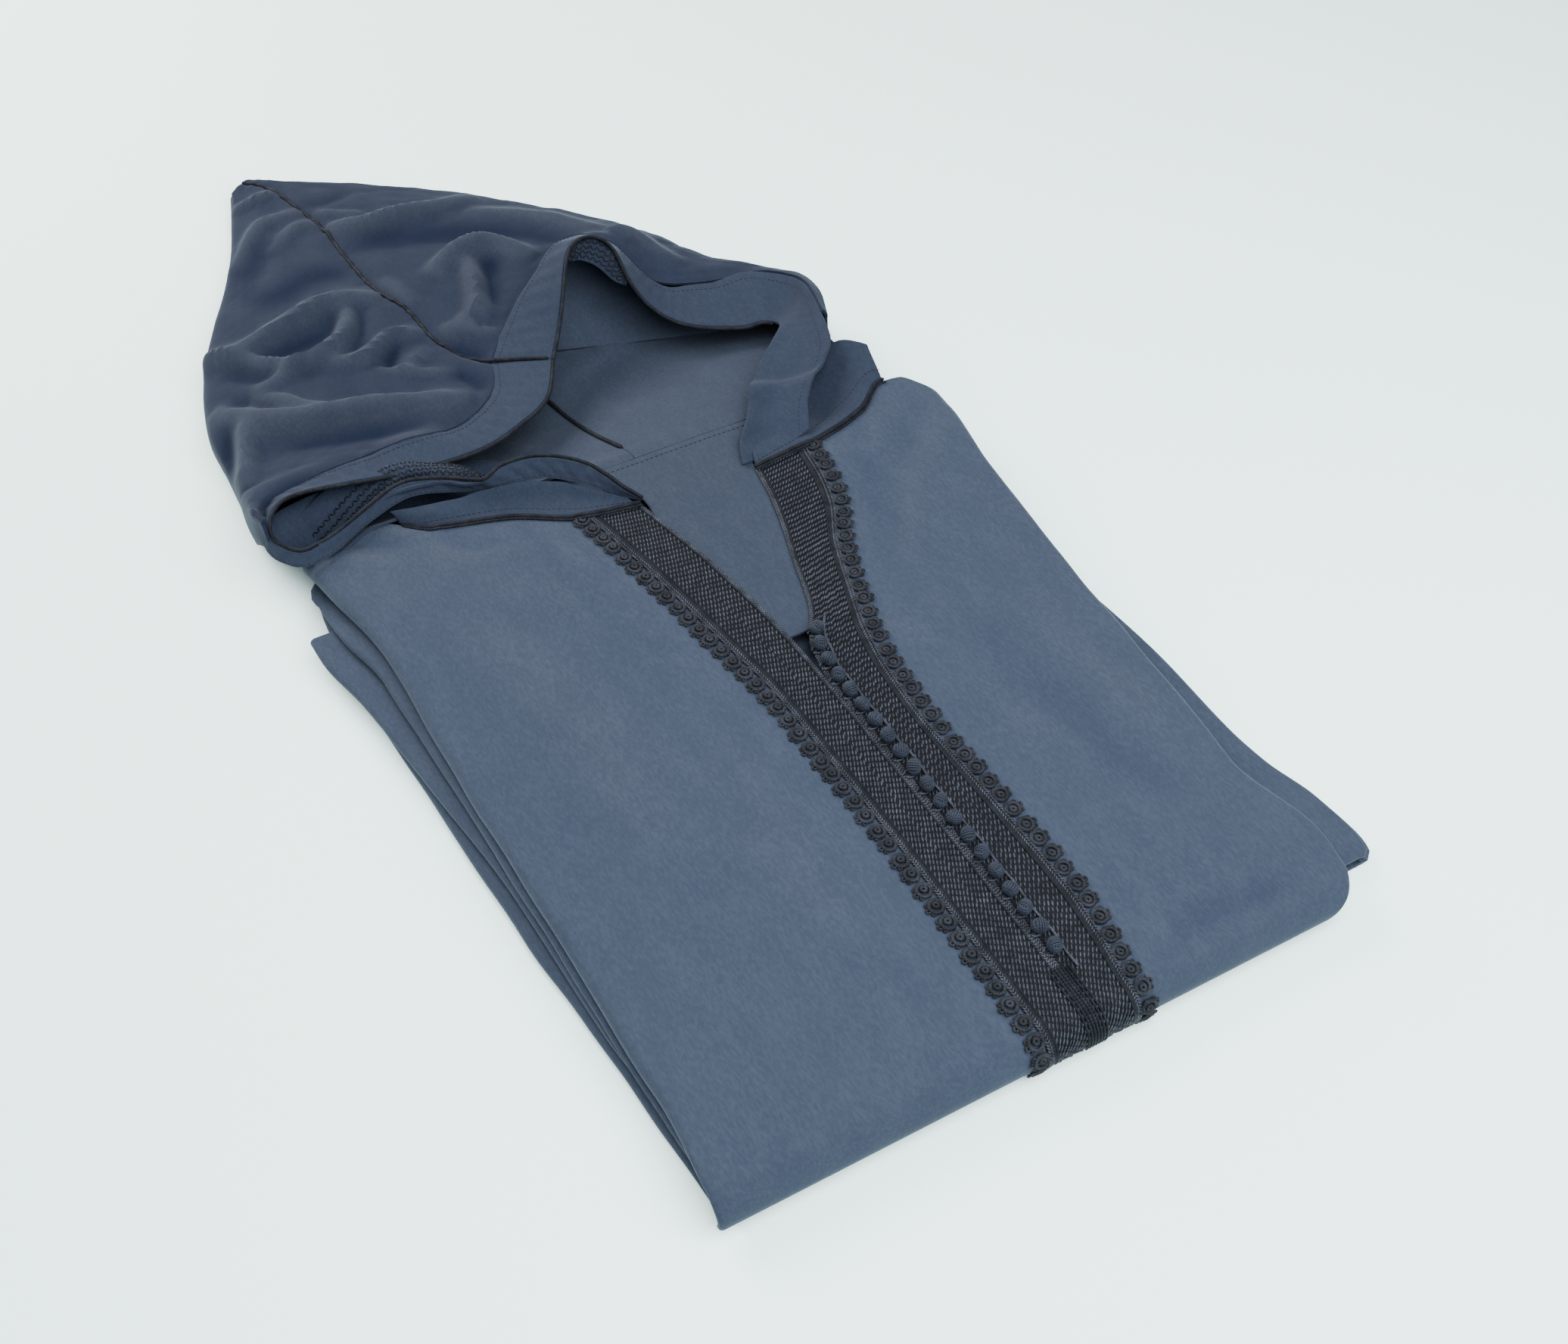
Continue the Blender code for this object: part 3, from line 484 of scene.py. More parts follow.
def look_up(table, key, number):
    """A column of a table at values of its first column, on a curve that never overshoots."""
    keys, values = np.array([(row[0], row[number]) for row in table], float).T
    steps = np.diff(values) / np.diff(keys)
    before, after = steps[:-1], steps[1:]
    total = np.where(before * after > 0, before + after, 1.0)
    inner = np.where(before * after > 0, 2 * before * after / total, 0.0)
    slopes = np.concatenate([steps[:1], inner, steps[-1:]])
    key = np.clip(np.asarray(key, float), keys[0], keys[-1])
    index = np.clip(np.searchsorted(keys, key, side="right") - 1, 0, len(keys) - 2)
    width = keys[index + 1] - keys[index]
    t = (key - keys[index]) / width
    return between(t, width, values[index], values[index + 1], slopes[index], slopes[index + 1])


def ease(value, start, end):
    """0 before start, 1 after end, smooth between."""
    t = np.clip((np.asarray(value, float) - start) / (end - start), 0.0, 1.0)
    return t * t * (3 - 2 * t)


def through(points, places):
    """Points of a smooth curve through the given ones; places count along them, fractions between."""
    points = np.asarray(points, float)
    places = np.asarray(places, float)
    spans = np.sqrt(np.linalg.norm(np.diff(points[:, :3], axis=0), axis=1).clip(1e-4))[:, None]
    steps = np.diff(points, axis=0) / spans
    if len(steps) > 1:
        inner = (steps[:-1] * spans[1:] + steps[1:] * spans[:-1]) / (spans[:-1] + spans[1:])
        slopes = np.concatenate([steps[:1], inner, steps[-1:]])
    else:
        slopes = np.concatenate([steps, steps])
    index = np.clip(places.astype(int), 0, len(spans) - 1)
    t = (places - index)[:, None]
    return between(t, spans[index], points[index], points[index + 1], slopes[index], slopes[index + 1])


def spread(steps):
    """Places that divide each span of a row of points into its number of steps."""
    places = [span + i / count for span, count in enumerate(steps) for i in range(count)]
    return np.array(places + [len(steps)], float)


def even(count, steps):
    """Places that divide every span between count points into the same number of steps."""
    return spread([steps] * (count - 1))


def fine_grid(rows, down, across):
    """Fine grid through a coarse one, on smooth curves both ways."""
    rows = np.asarray(rows, float)
    wide = np.stack([through(row, across) for row in rows])
    return np.stack([through(wide[:, c], down) for c in range(wide.shape[1])], axis=1)


def lengths_along(points):
    """Length from the start of a polyline to each of its points."""
    return np.concatenate([[0.0], np.cumsum(np.linalg.norm(np.diff(points, axis=0), axis=1))])


def at_lengths(stations, lengths, points):
    """Values at lengths along a polyline, from those at its points."""
    return np.stack([np.interp(stations, lengths, points[:, axis]) for axis in range(3)], axis=1)


def resampled(points, step):
    """Points every step along a polyline."""
    points = np.asarray(points, float)
    lengths = lengths_along(points)
    count = max(2, int(round(lengths[-1] / step)) + 1)
    return at_lengths(np.linspace(0, lengths[-1], count), lengths, points)


def spline(points, count):
    """count points on the frame's own smooth curve through the given ones."""
    points = np.asarray(points, float)
    last = len(points) - 1
    position = last * np.arange(count) / (count - 1)
    k = np.minimum(position.astype(int), last - 1)
    t = (position - k)[:, None]
    p, q, r, s = points[np.maximum(k - 1, 0)], points[k], points[k + 1], points[np.minimum(k + 2, last)]
    return q + 0.5 * t * (r - p + t * (2 * p - 5 * q + 4 * r - s + t * (3 * (q - r) + s - p)))


def fold_height(folds, x, y):
    """Height of a table of soft ridges and troughs at layout points."""
    x, y = np.broadcast_arrays(np.asarray(x, float), np.asarray(y, float))
    total = np.zeros(x.shape)
    for rise, left, right, points in folds:
        path = through([(px, py, 0.0) for px, py in points], even(len(points), 5))[:, :2]
        room = 2.6 * max(left, right)
        low, high = path.min(axis=0) - room, path.max(axis=0) + room
        near = (x > low[0]) & (x < high[0]) & (y > low[1]) & (y < high[1])
        if not near.any():
            continue
        near_x, near_y = x[near], y[near]
        nearest = np.full(near_x.shape, np.inf)
        share = np.zeros(near_x.shape)
        side = np.zeros(near_x.shape)
        for k in range(len(path) - 1):
            run = path[k + 1] - path[k]
            t = np.clip(((near_x - path[k][0]) * run[0] + (near_y - path[k][1]) * run[1]) / (run @ run), 0, 1)
            off_x, off_y = near_x - path[k][0] - t * run[0], near_y - path[k][1] - t * run[1]
            distance = np.hypot(off_x, off_y)
            closer = distance < nearest
            nearest = np.where(closer, distance, nearest)
            share = np.where(closer, (k + t) / (len(path) - 1), share)
            side = np.where(closer, run[0] * off_y - run[1] * off_x, side)
        taper = np.sin(math.pi * np.clip(share, 0.0, 1.0)) ** 0.6
        total[near] += rise * taper * np.exp(-(nearest / np.where(side > 0, left, right)) ** 2)
    return total


MAPS = {}                    # unevenness worked out once: name to corner, step and heights


def mapped(name, low, high, step, height, x, y):
    """Height at layout points from a map that is worked out once by a height function."""
    if name not in MAPS:
        spots_x, spots_y = np.arange(low[0], high[0] + step, step), np.arange(low[1], high[1] + step, step)
        MAPS[name] = height(spots_x[None, :], spots_y[:, None])
    heights = MAPS[name]
    column_at = np.clip((np.asarray(x, float) - low[0]) / step, 0, heights.shape[1] - 1.001)
    row_at = np.clip((np.asarray(y, float) - low[1]) / step, 0, heights.shape[0] - 1.001)
    c, r = column_at.astype(int), row_at.astype(int)
    u, v = column_at - c, row_at - r
    return ((1 - v) * ((1 - u) * heights[r, c] + u * heights[r, c + 1])
            + v * ((1 - u) * heights[r + 1, c] + u * heights[r + 1, c + 1]))


def waves(kind, x, y):
    """Broad irregular unevenness of a height, spacing and seed."""
    height, spacing, seed = kind
    draw = np.random.default_rng(seed)
    angles = draw.uniform(0, 2 * math.pi, WAVE_COUNT)
    turns = 2 * math.pi / (spacing * draw.uniform(0.7, 1.9, WAVE_COUNT))
    phases = draw.uniform(0, 2 * math.pi, WAVE_COUNT)
    total = 0.0
    for angle, turn, phase in zip(angles, turns, phases):
        total = total + np.sin(turn * (x * math.cos(angle) + y * math.sin(angle)) + phase)
    return height * (total / (0.6 * WAVE_COUNT))


def front_y(x):
    """Foremost line of the folded layers at the near fold."""
    return FRONT_SLANT * np.asarray(x, float)


def full_height(along):
    """Height of the folded layers along their middle."""
    return 2 * ROLL + look_up(PILE_RISE, along, 1)


def stack_height(x, along):
    """Top of the folded layers, above the surface they lie on."""
    right_x, left_x = look_up(TOP_EDGES, along, 1), look_up(TOP_EDGES, along, 2)
    outward = np.abs(x - 0.5 * (left_x + right_x)) / (0.5 * (left_x - right_x))
    return full_height(along) - SHOULDER_DROP * outward ** 4 * ease(along, 0, 70)


def front_folds(x, along):
    """Unevenness of the top layer: its soft folds, and the broad waves of laid cloth."""
    folds = FRONT_CRESTS * fold_height(FRONT_FOLDS, x, along) * settings().fold_depth
    broad = waves(FRONT_WAVES, x, along) * ease(along, -10, 40)
    small = waves(FRONT_FINE, x, along) * ease(along, -10, 30)
    return folds + broad + small


def front_relief(x, along):
    """Unevenness of the top layer at points of the pile."""
    return mapped("front", (-240, -8), (240, 530), 1.0, front_folds, x, along)


def pile_points(x, along, lift):
    """Points above the folded layers; a negative along is an angle round the near fold."""
    x, along, lift = np.broadcast_arrays(*(np.asarray(value, float) for value in (x, along, lift)))
    angle = np.radians(np.maximum(-along, 0.0))
    relief = front_relief(x, np.where(along < 0, along * math.radians(ROLL), along))
    relief = relief * (1 - ease(-along, 20, 100))
    reach = ROLL + lift + relief
    rolled = np.stack([x, front_y(x) + ROLL - reach * np.sin(angle), ROLL + reach * np.cos(angle)], axis=-1)
    top = stack_height(x, np.maximum(along, 0.0)) + lift + relief
    flat = np.stack([x, front_y(x) + ROLL + along, top], axis=-1)
    return np.where((along < 0)[..., None], rolled, flat)


def along_of(x, y):
    """Distance beyond the near fold of a layout point on the pile's top."""
    return y - front_y(x) - ROLL


def hood_folds(x, y):
    """Unevenness of the hood: its folds, the groove of its crown seam and the puckers beside it."""
    x, y = np.broadcast_arrays(x, y)
    crown = through(CROWN, even(len(CROWN), 6))
    distance = np.full(x.shape, np.inf)
    passed = np.zeros(x.shape)
    run = 0.0
    for a, b in zip(crown, crown[1:]):
        step = b[:2] - a[:2]
        t = np.clip(((x - a[0]) * step[0] + (y - a[1]) * step[1]) / (step @ step), 0, 1)
        here = np.hypot(x - a[0] - t * step[0], y - a[1] - t * step[1])
        passed = np.where(here < distance, run + t * np.hypot(*step), passed)
        distance = np.minimum(here, distance)
        run += np.hypot(*step)
    groove = -GROOVE[0] * np.exp(-(distance / GROOVE[1]) ** 2)
    pucker = PUCKER[0] * np.sin(2 * math.pi * passed / PUCKER[1] + 1.4 * np.sin(passed / 17))
    pucker = pucker * np.exp(-(distance / PUCKER[2]) ** 2)
    deep = [(row[0] * (HOOD_CRESTS if row[0] > 0 else HOOD_TROUGHS), *row[1:]) for row in HOOD_FOLDS]
    folds = fold_height(deep, x, y) * settings().fold_depth
    return folds + groove + pucker + waves(HOOD_WAVES, x, y) + waves(HOOD_FINE, x, y)


def hood_relief(x, y):
    """Unevenness of the hood at layout points."""
    return mapped("hood", (-250, 560), (240, 1000), 1.0, hood_folds, x, y)


def settings():
    """The sizes and colours that the panel shows."""
    return bpy.context.scene.robe_cloth


def trims():
    """The sizes and colours of the robe's trims."""
    return bpy.context.scene.robe_trims


# ---------------------------------------------------------------- meshes

CORD_STRANDS = 2
STATION_GAP = 0.45           # closest rings of a laid cord
RINGS_A_LAY = 9              # rings of a laid cord to one turn of its strands
EDGE_ROUNDING = 0.32         # rounding of a sheet's edges, as a share of its wall
ROUNDED_FROM = 50            # degrees between faces from which an edge is rounded


def new_piece(name, mesh, *materials):
    """Object for a mesh, with its materials, in the scene."""
    made = bpy.data.objects.new(name, mesh)
    bpy.context.scene.collection.objects.link(made)
    for material in materials:
        mesh.materials.append(material)
    return made


def finish_piece(piece, slot, *nodes):
    """Tie a finished piece to the frame: hide the nodes it stands for and attach it to its body; its slot is
    not used.
    """
    if nodes:
        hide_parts(*nodes)
    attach(piece, BODY)
    return piece


def circle(steps):
    """Angles of even steps round a circle."""
    return 2 * math.pi * np.arange(steps) / steps


def mapped_mesh(name, layer_name, vertices, faces, spots):
    """Smooth mesh with a map that has one spot for each corner of its faces."""
    mesh = bpy.data.meshes.new(name)
    mesh.from_pydata(vertices.tolist(), [], faces)
    layer = mesh.uv_layers.new(name=layer_name)
    layer.data.foreach_set("uv", np.asarray(spots).reshape(-1).astype(np.float32))
    mesh.shade_smooth()
    return mesh


def grid_mesh(name, grid):
    """Sheet through a grid of layout points, with a map in metres; it faces up where rows run along +y."""
    down, wide = grid.shape[:2]
    index = np.arange(down * wide).reshape(down, wide)
    quads = np.stack([index[:-1, :-1], index[:-1, 1:], index[1:, 1:], index[1:, :-1]], axis=-1)
    across, along = np.zeros((down, wide)), np.zeros((down, wide))
    across[:, 1:] = np.cumsum(np.linalg.norm(np.diff(grid, axis=1), axis=2), axis=1)
    along[1:] = np.cumsum(np.linalg.norm(np.diff(grid, axis=0), axis=2), axis=0)
    spots = np.stack([across, along], axis=-1) * MM
    corners = np.stack([spots[:-1, :-1], spots[:-1, 1:], spots[1:, 1:], spots[1:, :-1]], axis=2)
    return mapped_mesh(name, "cloth", place(grid.reshape(-1, 3)), quads.reshape(-1, 4).tolist(), corners)


def add_sheet(name, grid, wall, material, slot, *nodes, grow=1.0):
    """Finished sheet of cloth of one wall thickness, with rounded edges."""
    made = new_piece(name, grid_mesh(name, np.asarray(grid, float)), finish(material))
    shell = made.modifiers.new("wall", "SOLIDIFY")
    shell.thickness = wall * MM
    shell.offset = grow
    shell.use_even_offset = False
    shell.use_quality_normals = True
    rounded = made.modifiers.new("edges", "BEVEL")
    rounded.width = EDGE_ROUNDING * wall * MM
    rounded.segments = 2
    rounded.limit_method = "ANGLE"
    rounded.angle_limit = math.radians(ROUNDED_FROM)
    return finish_piece(made, slot, *nodes)


def faced(grid, side):
    """Grid of the robe's right (-1) or left (1) side, turned so that its sheet faces up."""
    return grid[:, ::-side]


def mark_painted_fold_shading(piece, heights):
    """Note on a sheet how far each point lies on a fold's crest, or below in a trough, for the painted light
    on crests and the painted shade in troughs.
    """
    crest = piece.data.attributes.new("crest", "FLOAT", "POINT")
    crest.data.foreach_set("value", np.clip(heights, -0.5, 0.5).reshape(-1).astype(np.float32))


def path_frames(points):
    """Two square directions at each point of a path, without twist."""
    tangents = np.gradient(points, axis=0)
    tangents /= np.linalg.norm(tangents, axis=1)[:, None]
    sides = []
    side = np.cross(tangents[0], (0.0, 0.0, 1.0))
    for tangent in tangents:
        side = side - tangent * (side @ tangent)
        side = side / np.linalg.norm(side)
        sides.append(side)
    sides = np.array(sides)
    return sides, np.cross(tangents, sides)


def cord_grid(points, radius, lay, depth, sides=12):
    """Rings of a laid cord: strands that wind round a path, one turn in lay millimetres."""
    points = resampled(points, max(STATION_GAP, lay / RINGS_A_LAY))
    across, up = path_frames(points)
    run = lengths_along(points)
    turn = circle(sides)
    wind = CORD_STRANDS * (turn[None, :] - 2 * math.pi * run[:, None] / lay)
    reach = radius * (1 - depth + depth * np.abs(np.cos(0.5 * wind)) ** 0.7)
    ends = np.minimum(run, run[-1] - run)[:, None]
    reach = reach * np.sqrt(1 - (1 - np.clip(ends / radius, 0.12, 1.0)) ** 2)
    ring = across[:, None] * np.cos(turn)[None, :, None] - up[:, None] * np.sin(turn)[None, :, None]
    return points[:, None] + ring * reach[..., None]


def tape_grid(points, half_width, half_height, sides=10):
    """Rings of a flat tape that follows a path on the cloth."""
    points = resampled(points, 2.0)
    across, up = path_frames(points)
    wide, high = half_width * np.cos(circle(sides)), half_height * np.sin(circle(sides))
    return points[:, None] + across[:, None] * wide[None, :, None] - up[:, None] * high[None, :, None]


def ring_faces(down, sides, first=0, closed=False, flip=False):
    """Faces between rings of points; the last ring also joins the first where they are closed."""
    faces = []
    for r in range(down if closed else down - 1):
        for s in range(sides):
            a, b, t = first + r * sides, first + (r + 1) % down * sides, (s + 1) % sides
            faces.append((a + s, a + t, b + t, b + s) if flip else (a + s, b + s, b + t, a + t))
    return faces


def closed_tube(name, grids, slot, *nodes, material="cord_thread"):
    """One finished piece of tubes, each a grid of rings, closed at both ends."""
    vertices, faces, spots = [], [], []
    first = 0
    for grid in grids:
        down, sides = grid.shape[:2]
        vertices += [place(grid.reshape(-1, 3)), place([grid[0].mean(axis=0), grid[-1].mean(axis=0)])]
        run = lengths_along(grid.mean(axis=1)) * MM
        faces += ring_faces(down, sides, first)
        for r in range(down - 1):
            for s in range(sides):
                spots += [(u / sides, run[v]) for u, v in ((s, r), (s, r + 1), (s + 1, r + 1), (s + 1, r))]
        last = first + (down - 1) * sides
        start = last + sides
        for s in range(sides):
            t = (s + 1) % sides
            faces += [(start, first + s, first + t), (start + 1, last + t, last + s)]
            spots += [(0.5, run[0]), (s / sides, run[0]), ((s + 1) / sides, run[0])]
            spots += [(0.5, run[-1]), ((s + 1) / sides, run[-1]), (s / sides, run[-1])]
        first = start + 2
    mesh = mapped_mesh(name, "cord", np.concatenate(vertices), faces, spots)
    return finish_piece(new_piece(name, mesh, finish(material)), slot, *nodes)


def grid_normals(grid):
    """Unit normals of a grid of points, on the side that it faces."""
    normal = np.cross(np.gradient(grid, axis=1), np.gradient(grid, axis=0))
    return normal / np.linalg.norm(normal, axis=-1)[..., None].clip(1e-9)


def loose_shape(name, vertices, faces):
    """Small smooth shape in layout millimetres about its own origin, to be repeated along paths."""
    mesh = bpy.data.meshes.new(name)
    mesh.from_pydata((np.asarray(vertices) * MM).tolist(), [], faces)
    mesh.shade_smooth()
    return bpy.data.objects.new(name, mesh)


def stitch_shape(length, width, height, steps=4, sides=5):
    """One stitch: a rounded thread that lies along x and bulges up, as a few dozen faces."""
    points = []
    for share in np.arange(steps + 1) / steps:
        girth = math.sin(math.pi * min(max(share, 0.03), 0.97)) ** 0.6
        points += [(length * (share - 0.5), -0.5 * width * girth * math.cos(turn),
                    0.5 * height * girth * math.sin(turn)) for turn in circle(sides)]
    ends = [tuple(reversed(range(sides))), tuple(range(steps * sides, (steps + 1) * sides))]
    return loose_shape("stitch", points, ring_faces(steps + 1, sides, flip=True) + ends)


# ---------------------------------------------------------------- node trees

class Wiring:
    """Short way to add and join the nodes of one tree."""

    def __init__(self, tree):
        self.tree = tree

    def sockets(self, direction, kind, **named):
        """Sockets of the tree, by name in words joined with an underscore, with their defaults."""
        for name, value in named.items():
            made = self.tree.interface.new_socket(
                name.replace("_", " "), in_out=direction, socket_type="NodeSocket" + kind)
            if value is not None:
                made.default_value = value

    def add(self, kind, inputs=None, **values):
        made = self.tree.nodes.new(kind)
        for key, value in values.items():
            setattr(made, key, value)
        for key, value in (inputs or {}).items():
            self.feed(value, made.inputs[key])
        return made

    def feed(self, value, socket):
        if isinstance(value, bpy.types.NodeSocket):
            self.tree.links.new(value, socket)
        else:
            socket.default_value = value

    def math(self, operation, first, second=0.0):
        made = self.add("ShaderNodeMath", operation=operation)
        self.feed(first, made.inputs[0])
        self.feed(second, made.inputs[1])
        return made.outputs[0]

    def mixed(self, first, first_share, second, second_share):
        """Sum of two values, each times its share."""
        return self.math("ADD", self.math("MULTIPLY", first, first_share),
                         self.math("MULTIPLY", second, second_share))

    def noise(self, vector, scale, detail=2.0, roughness=0.5):
        return self.add("ShaderNodeTexNoise", {"Vector": vector, "Scale": scale, "Detail": detail,
                                               "Roughness": roughness}).outputs["Fac"]

    def blend(self, share, first, second):
        return self.add("ShaderNodeMix", {"Factor": share, "A": first, "B": second},
                        data_type="RGBA").outputs["Result"]

    def ramp(self, value, low, high):
        made = self.add("ShaderNodeMapRange", {"Value": value, "From Min": low, "From Max": high})
        return made.outputs["Result"]


def run_tree():
    """Node tree that lays copies of one small shape along paths, each turned to its path and cloth."""
    tree = bpy.data.node_groups.new("stitch_run", "GeometryNodeTree")
    wire = Wiring(tree)
    wire.sockets("OUTPUT", "Geometry", Geometry=None)
    wire.sockets("INPUT", "Geometry", Paths=None)
    wire.sockets("INPUT", "Object", Shape=None)
    wire.sockets("INPUT", "Float", Pitch=0.004, Slant=0.0, Alternate=0.0, Turn_Wander=0.0, Size_Wander=0.0,
                 Place_Wander=0.0)
    wire.sockets("INPUT", "Int", Seed=1)
    wire.sockets("INPUT", "Material", Finish=None)
    given = wire.add("NodeGroupInput").outputs

    def wander(amount, offset):
        low = wire.math("MULTIPLY", amount, -1.0)
        seed = wire.math("ADD", given["Seed"], offset)
        return wire.add("FunctionNodeRandomValue", {2: low, 3: amount, "Seed": seed},
                        data_type="FLOAT").outputs[1]

    curve = wire.add("GeometryNodeMeshToCurve", {"Mesh": given["Paths"]}).outputs["Curve"]
    spaced = wire.add("GeometryNodeResampleCurve", {"Curve": curve, "Length": given["Pitch"]}, mode="LENGTH")
    shape = wire.add("GeometryNodeObjectInfo", {"Object": given["Shape"]}).outputs["Geometry"]
    outward = wire.add("GeometryNodeInputNamedAttribute", {"Name": "outward"}, data_type="FLOAT_VECTOR")
    sense = wire.add("GeometryNodeInputNamedAttribute", {"Name": "sense"}, data_type="FLOAT")
    tangent = wire.add("GeometryNodeInputTangent").outputs["Tangent"]
    axes = wire.add("FunctionNodeAxesToRotation",
                    {"Primary Axis": outward.outputs["Attribute"], "Secondary Axis": tangent},
                    primary_axis="Z", secondary_axis="X").outputs[0]
    number = wire.add("GeometryNodeInputIndex").outputs[0]
    swing = wire.math("MULTIPLY", wire.math("MODULO", number, 2), 2.0)
    swing = wire.math("SUBTRACT", 1.0, wire.math("MULTIPLY", swing, given["Alternate"]))
    slant = wire.math("MULTIPLY", wire.math("MULTIPLY", given["Slant"], swing), sense.outputs[0])
    slant = wire.math("ADD", slant, wander(given["Turn Wander"], 0))
    angles = wire.add("ShaderNodeCombineXYZ", {"Z": slant}).outputs[0]
    euler = wire.add("FunctionNodeEulerToRotation", {0: angles}).outputs[0]
    turned = wire.add("FunctionNodeRotateRotation", {"Rotation": axes, "Rotate By": euler},
                      rotation_space="LOCAL").outputs[0]
    size = wire.math("ADD", 1.0, wander(given["Size Wander"], 1))
    shifts = wire.add("ShaderNodeCombineXYZ", {axis: wander(given["Place Wander"], offset)
                                               for axis, offset in (("X", 2), ("Y", 3))}).outputs[0]
    moved = wire.add("GeometryNodeSetPosition", {"Geometry": spaced.outputs["Curve"], "Offset": shifts})
    copies = wire.add("GeometryNodeInstanceOnPoints",
                      {"Points": moved.outputs["Geometry"], "Instance": shape, "Rotation": turned,
                       "Scale": size}).outputs["Instances"]
    real = wire.add("GeometryNodeRealizeInstances", {"Geometry": copies}).outputs["Geometry"]
    coloured = wire.add("GeometryNodeSetMaterial", {"Geometry": real, "Material": given["Finish"]})
    wire.add("NodeGroupOutput", {"Geometry": coloured.outputs["Geometry"]})
    return tree


def path_mesh(lines, ups, senses):
    """Mesh of separate paths, with the direction out of the cloth and the sense of slant at each point."""
    points, edges, outward, sense = [], [], [], []
    for line, up, slants in zip(lines, ups, senses):
        first = len(points)
        points += place(line).tolist()
        edges += [(first + i, first + i + 1) for i in range(len(line) - 1)]
        outward += np.asarray(up, float).tolist()
        sense += [slants] * len(line)
    mesh = bpy.data.meshes.new("paths")
    mesh.from_pydata(points, edges, [])
    facing = mesh.attributes.new("outward", "FLOAT_VECTOR", "POINT")
    facing.data.foreach_set("vector", np.array(outward, np.float32).reshape(-1))
    slanted = mesh.attributes.new("sense", "FLOAT", "POINT")
    slanted.data.foreach_set("value", np.array(sense, np.float32))
    return mesh


def lay_run(name, lines, ups, shape, material, slot, *nodes, senses=None, **values):
    """Finished piece of one small shape repeated along paths, without a modifier."""
    tree = bpy.data.node_groups.get("stitch_run") or run_tree()
    carrier = new_piece(name + "_paths", path_mesh(lines, ups, senses or [1.0] * len(lines)))
    modifier = carrier.modifiers.new("run", "NODES")
    modifier.node_group = tree
    named = {"Shape": shape, "Finish": finish(material)}
    named.update({key.replace("_", " ").title(): value for key, value in values.items()})
    for socket in tree.interface.items_tree:
        if socket.in_out == "INPUT" and socket.name in named:
            modifier[socket.identifier] = named[socket.name]
    bpy.context.view_layer.update()
    depsgraph = bpy.context.evaluated_depsgraph_get()
    mesh = bpy.data.meshes.new_from_object(carrier.evaluated_get(depsgraph))
    bpy.data.objects.remove(carrier, do_unlink=True)
    for attribute in ("outward", "sense"):
        if attribute in mesh.attributes:
            mesh.attributes.remove(mesh.attributes[attribute])
    if not mesh.polygons:
        raise RuntimeError(name + " came out empty")
    mesh.name = name
    mesh.shade_smooth()
    return finish_piece(new_piece(name, mesh), slot, *nodes)


# ---------------------------------------------------------------- finishes

PAINTED_FOLD_SHADING = (1.5, 1.2, 0.65)          # painted light and shade of the folds: how much lighter a fold's crest is painted in each colour, and how much darker a trough
HOOD_PAINTED_SHADE = (0.385, 0.405, 0.50)    # painted shade: the hood's cloth is a darker, bluer copy of the outer cloth
# Painted shade: the hem, the neck strips and the cloth turned over and inside the hem are a darker copy of
# the outer cloth.
HEM_PAINTED_SHADE = (0.57, 0.59, 0.66)
NAPS = {
    # shares of the cloth's shade, brushed and pressed colour, share of its sheen, size of its clouds
    "outer_cloth": (1.0, 1.0, 1.0, 1.0, 0.055),
    "hood_cloth_painted_shade": (HOOD_PAINTED_SHADE, HOOD_PAINTED_SHADE, HOOD_PAINTED_SHADE, 0.7, 0.04),
    # The inside of the hood and of the back: the cloth's wrong side, a darker copy of the outer cloth that is
    # partly painted shade for the shade inside.
    "cloth_wrong_side_and_shade": (0.82, 0.80, 0.84, 0.7, 0.04),
    "hem_cloth_painted_shade": (HEM_PAINTED_SHADE, HEM_PAINTED_SHADE, HEM_PAINTED_SHADE, 0.8, 0.016),
}
THREADS = {
    # colour setting and share of it for the thread, then for its painted glint, and its gloss
    "knot_thread": ("button_thread", 1.0, "button_thread", 1.6, 0.22),
    "sewing_thread": ("shade", 0.22, "shade", 0.42, 0.2),
    "braid_ground": ("thread", 0.4, "thread", 0.7, 0.1),
    "cord_thread": ("thread", 0.5, "glint", 0.26, 0.08),
    "edging_thread": ("thread", 0.5, "glint", 0.42, 0.14),
    "braid_thread": ("thread", 1.0, "glint", 1.0, 0.25),
}
CLOTH_RELIEF = (0.5, 0.0006)       # strength and depth of the bump
THREAD_RELIEF = (0.35, 0.0003)


def shader_group(name, fibre_size, *colours):
    """New group of shader nodes with colours and a fibre size as inputs: its tree and wiring."""
    tree = bpy.data.node_groups.new(name, "ShaderNodeTree")
    wire = Wiring(tree)
    wire.sockets("INPUT", "Color", **dict.fromkeys(colours))
    wire.sockets("INPUT", "Float", Fibre_Size=fibre_size)
    wire.sockets("OUTPUT", "Color", Colour=None)
    wire.sockets("OUTPUT", "Float", Roughness=None, Height=None)
    return tree, wire


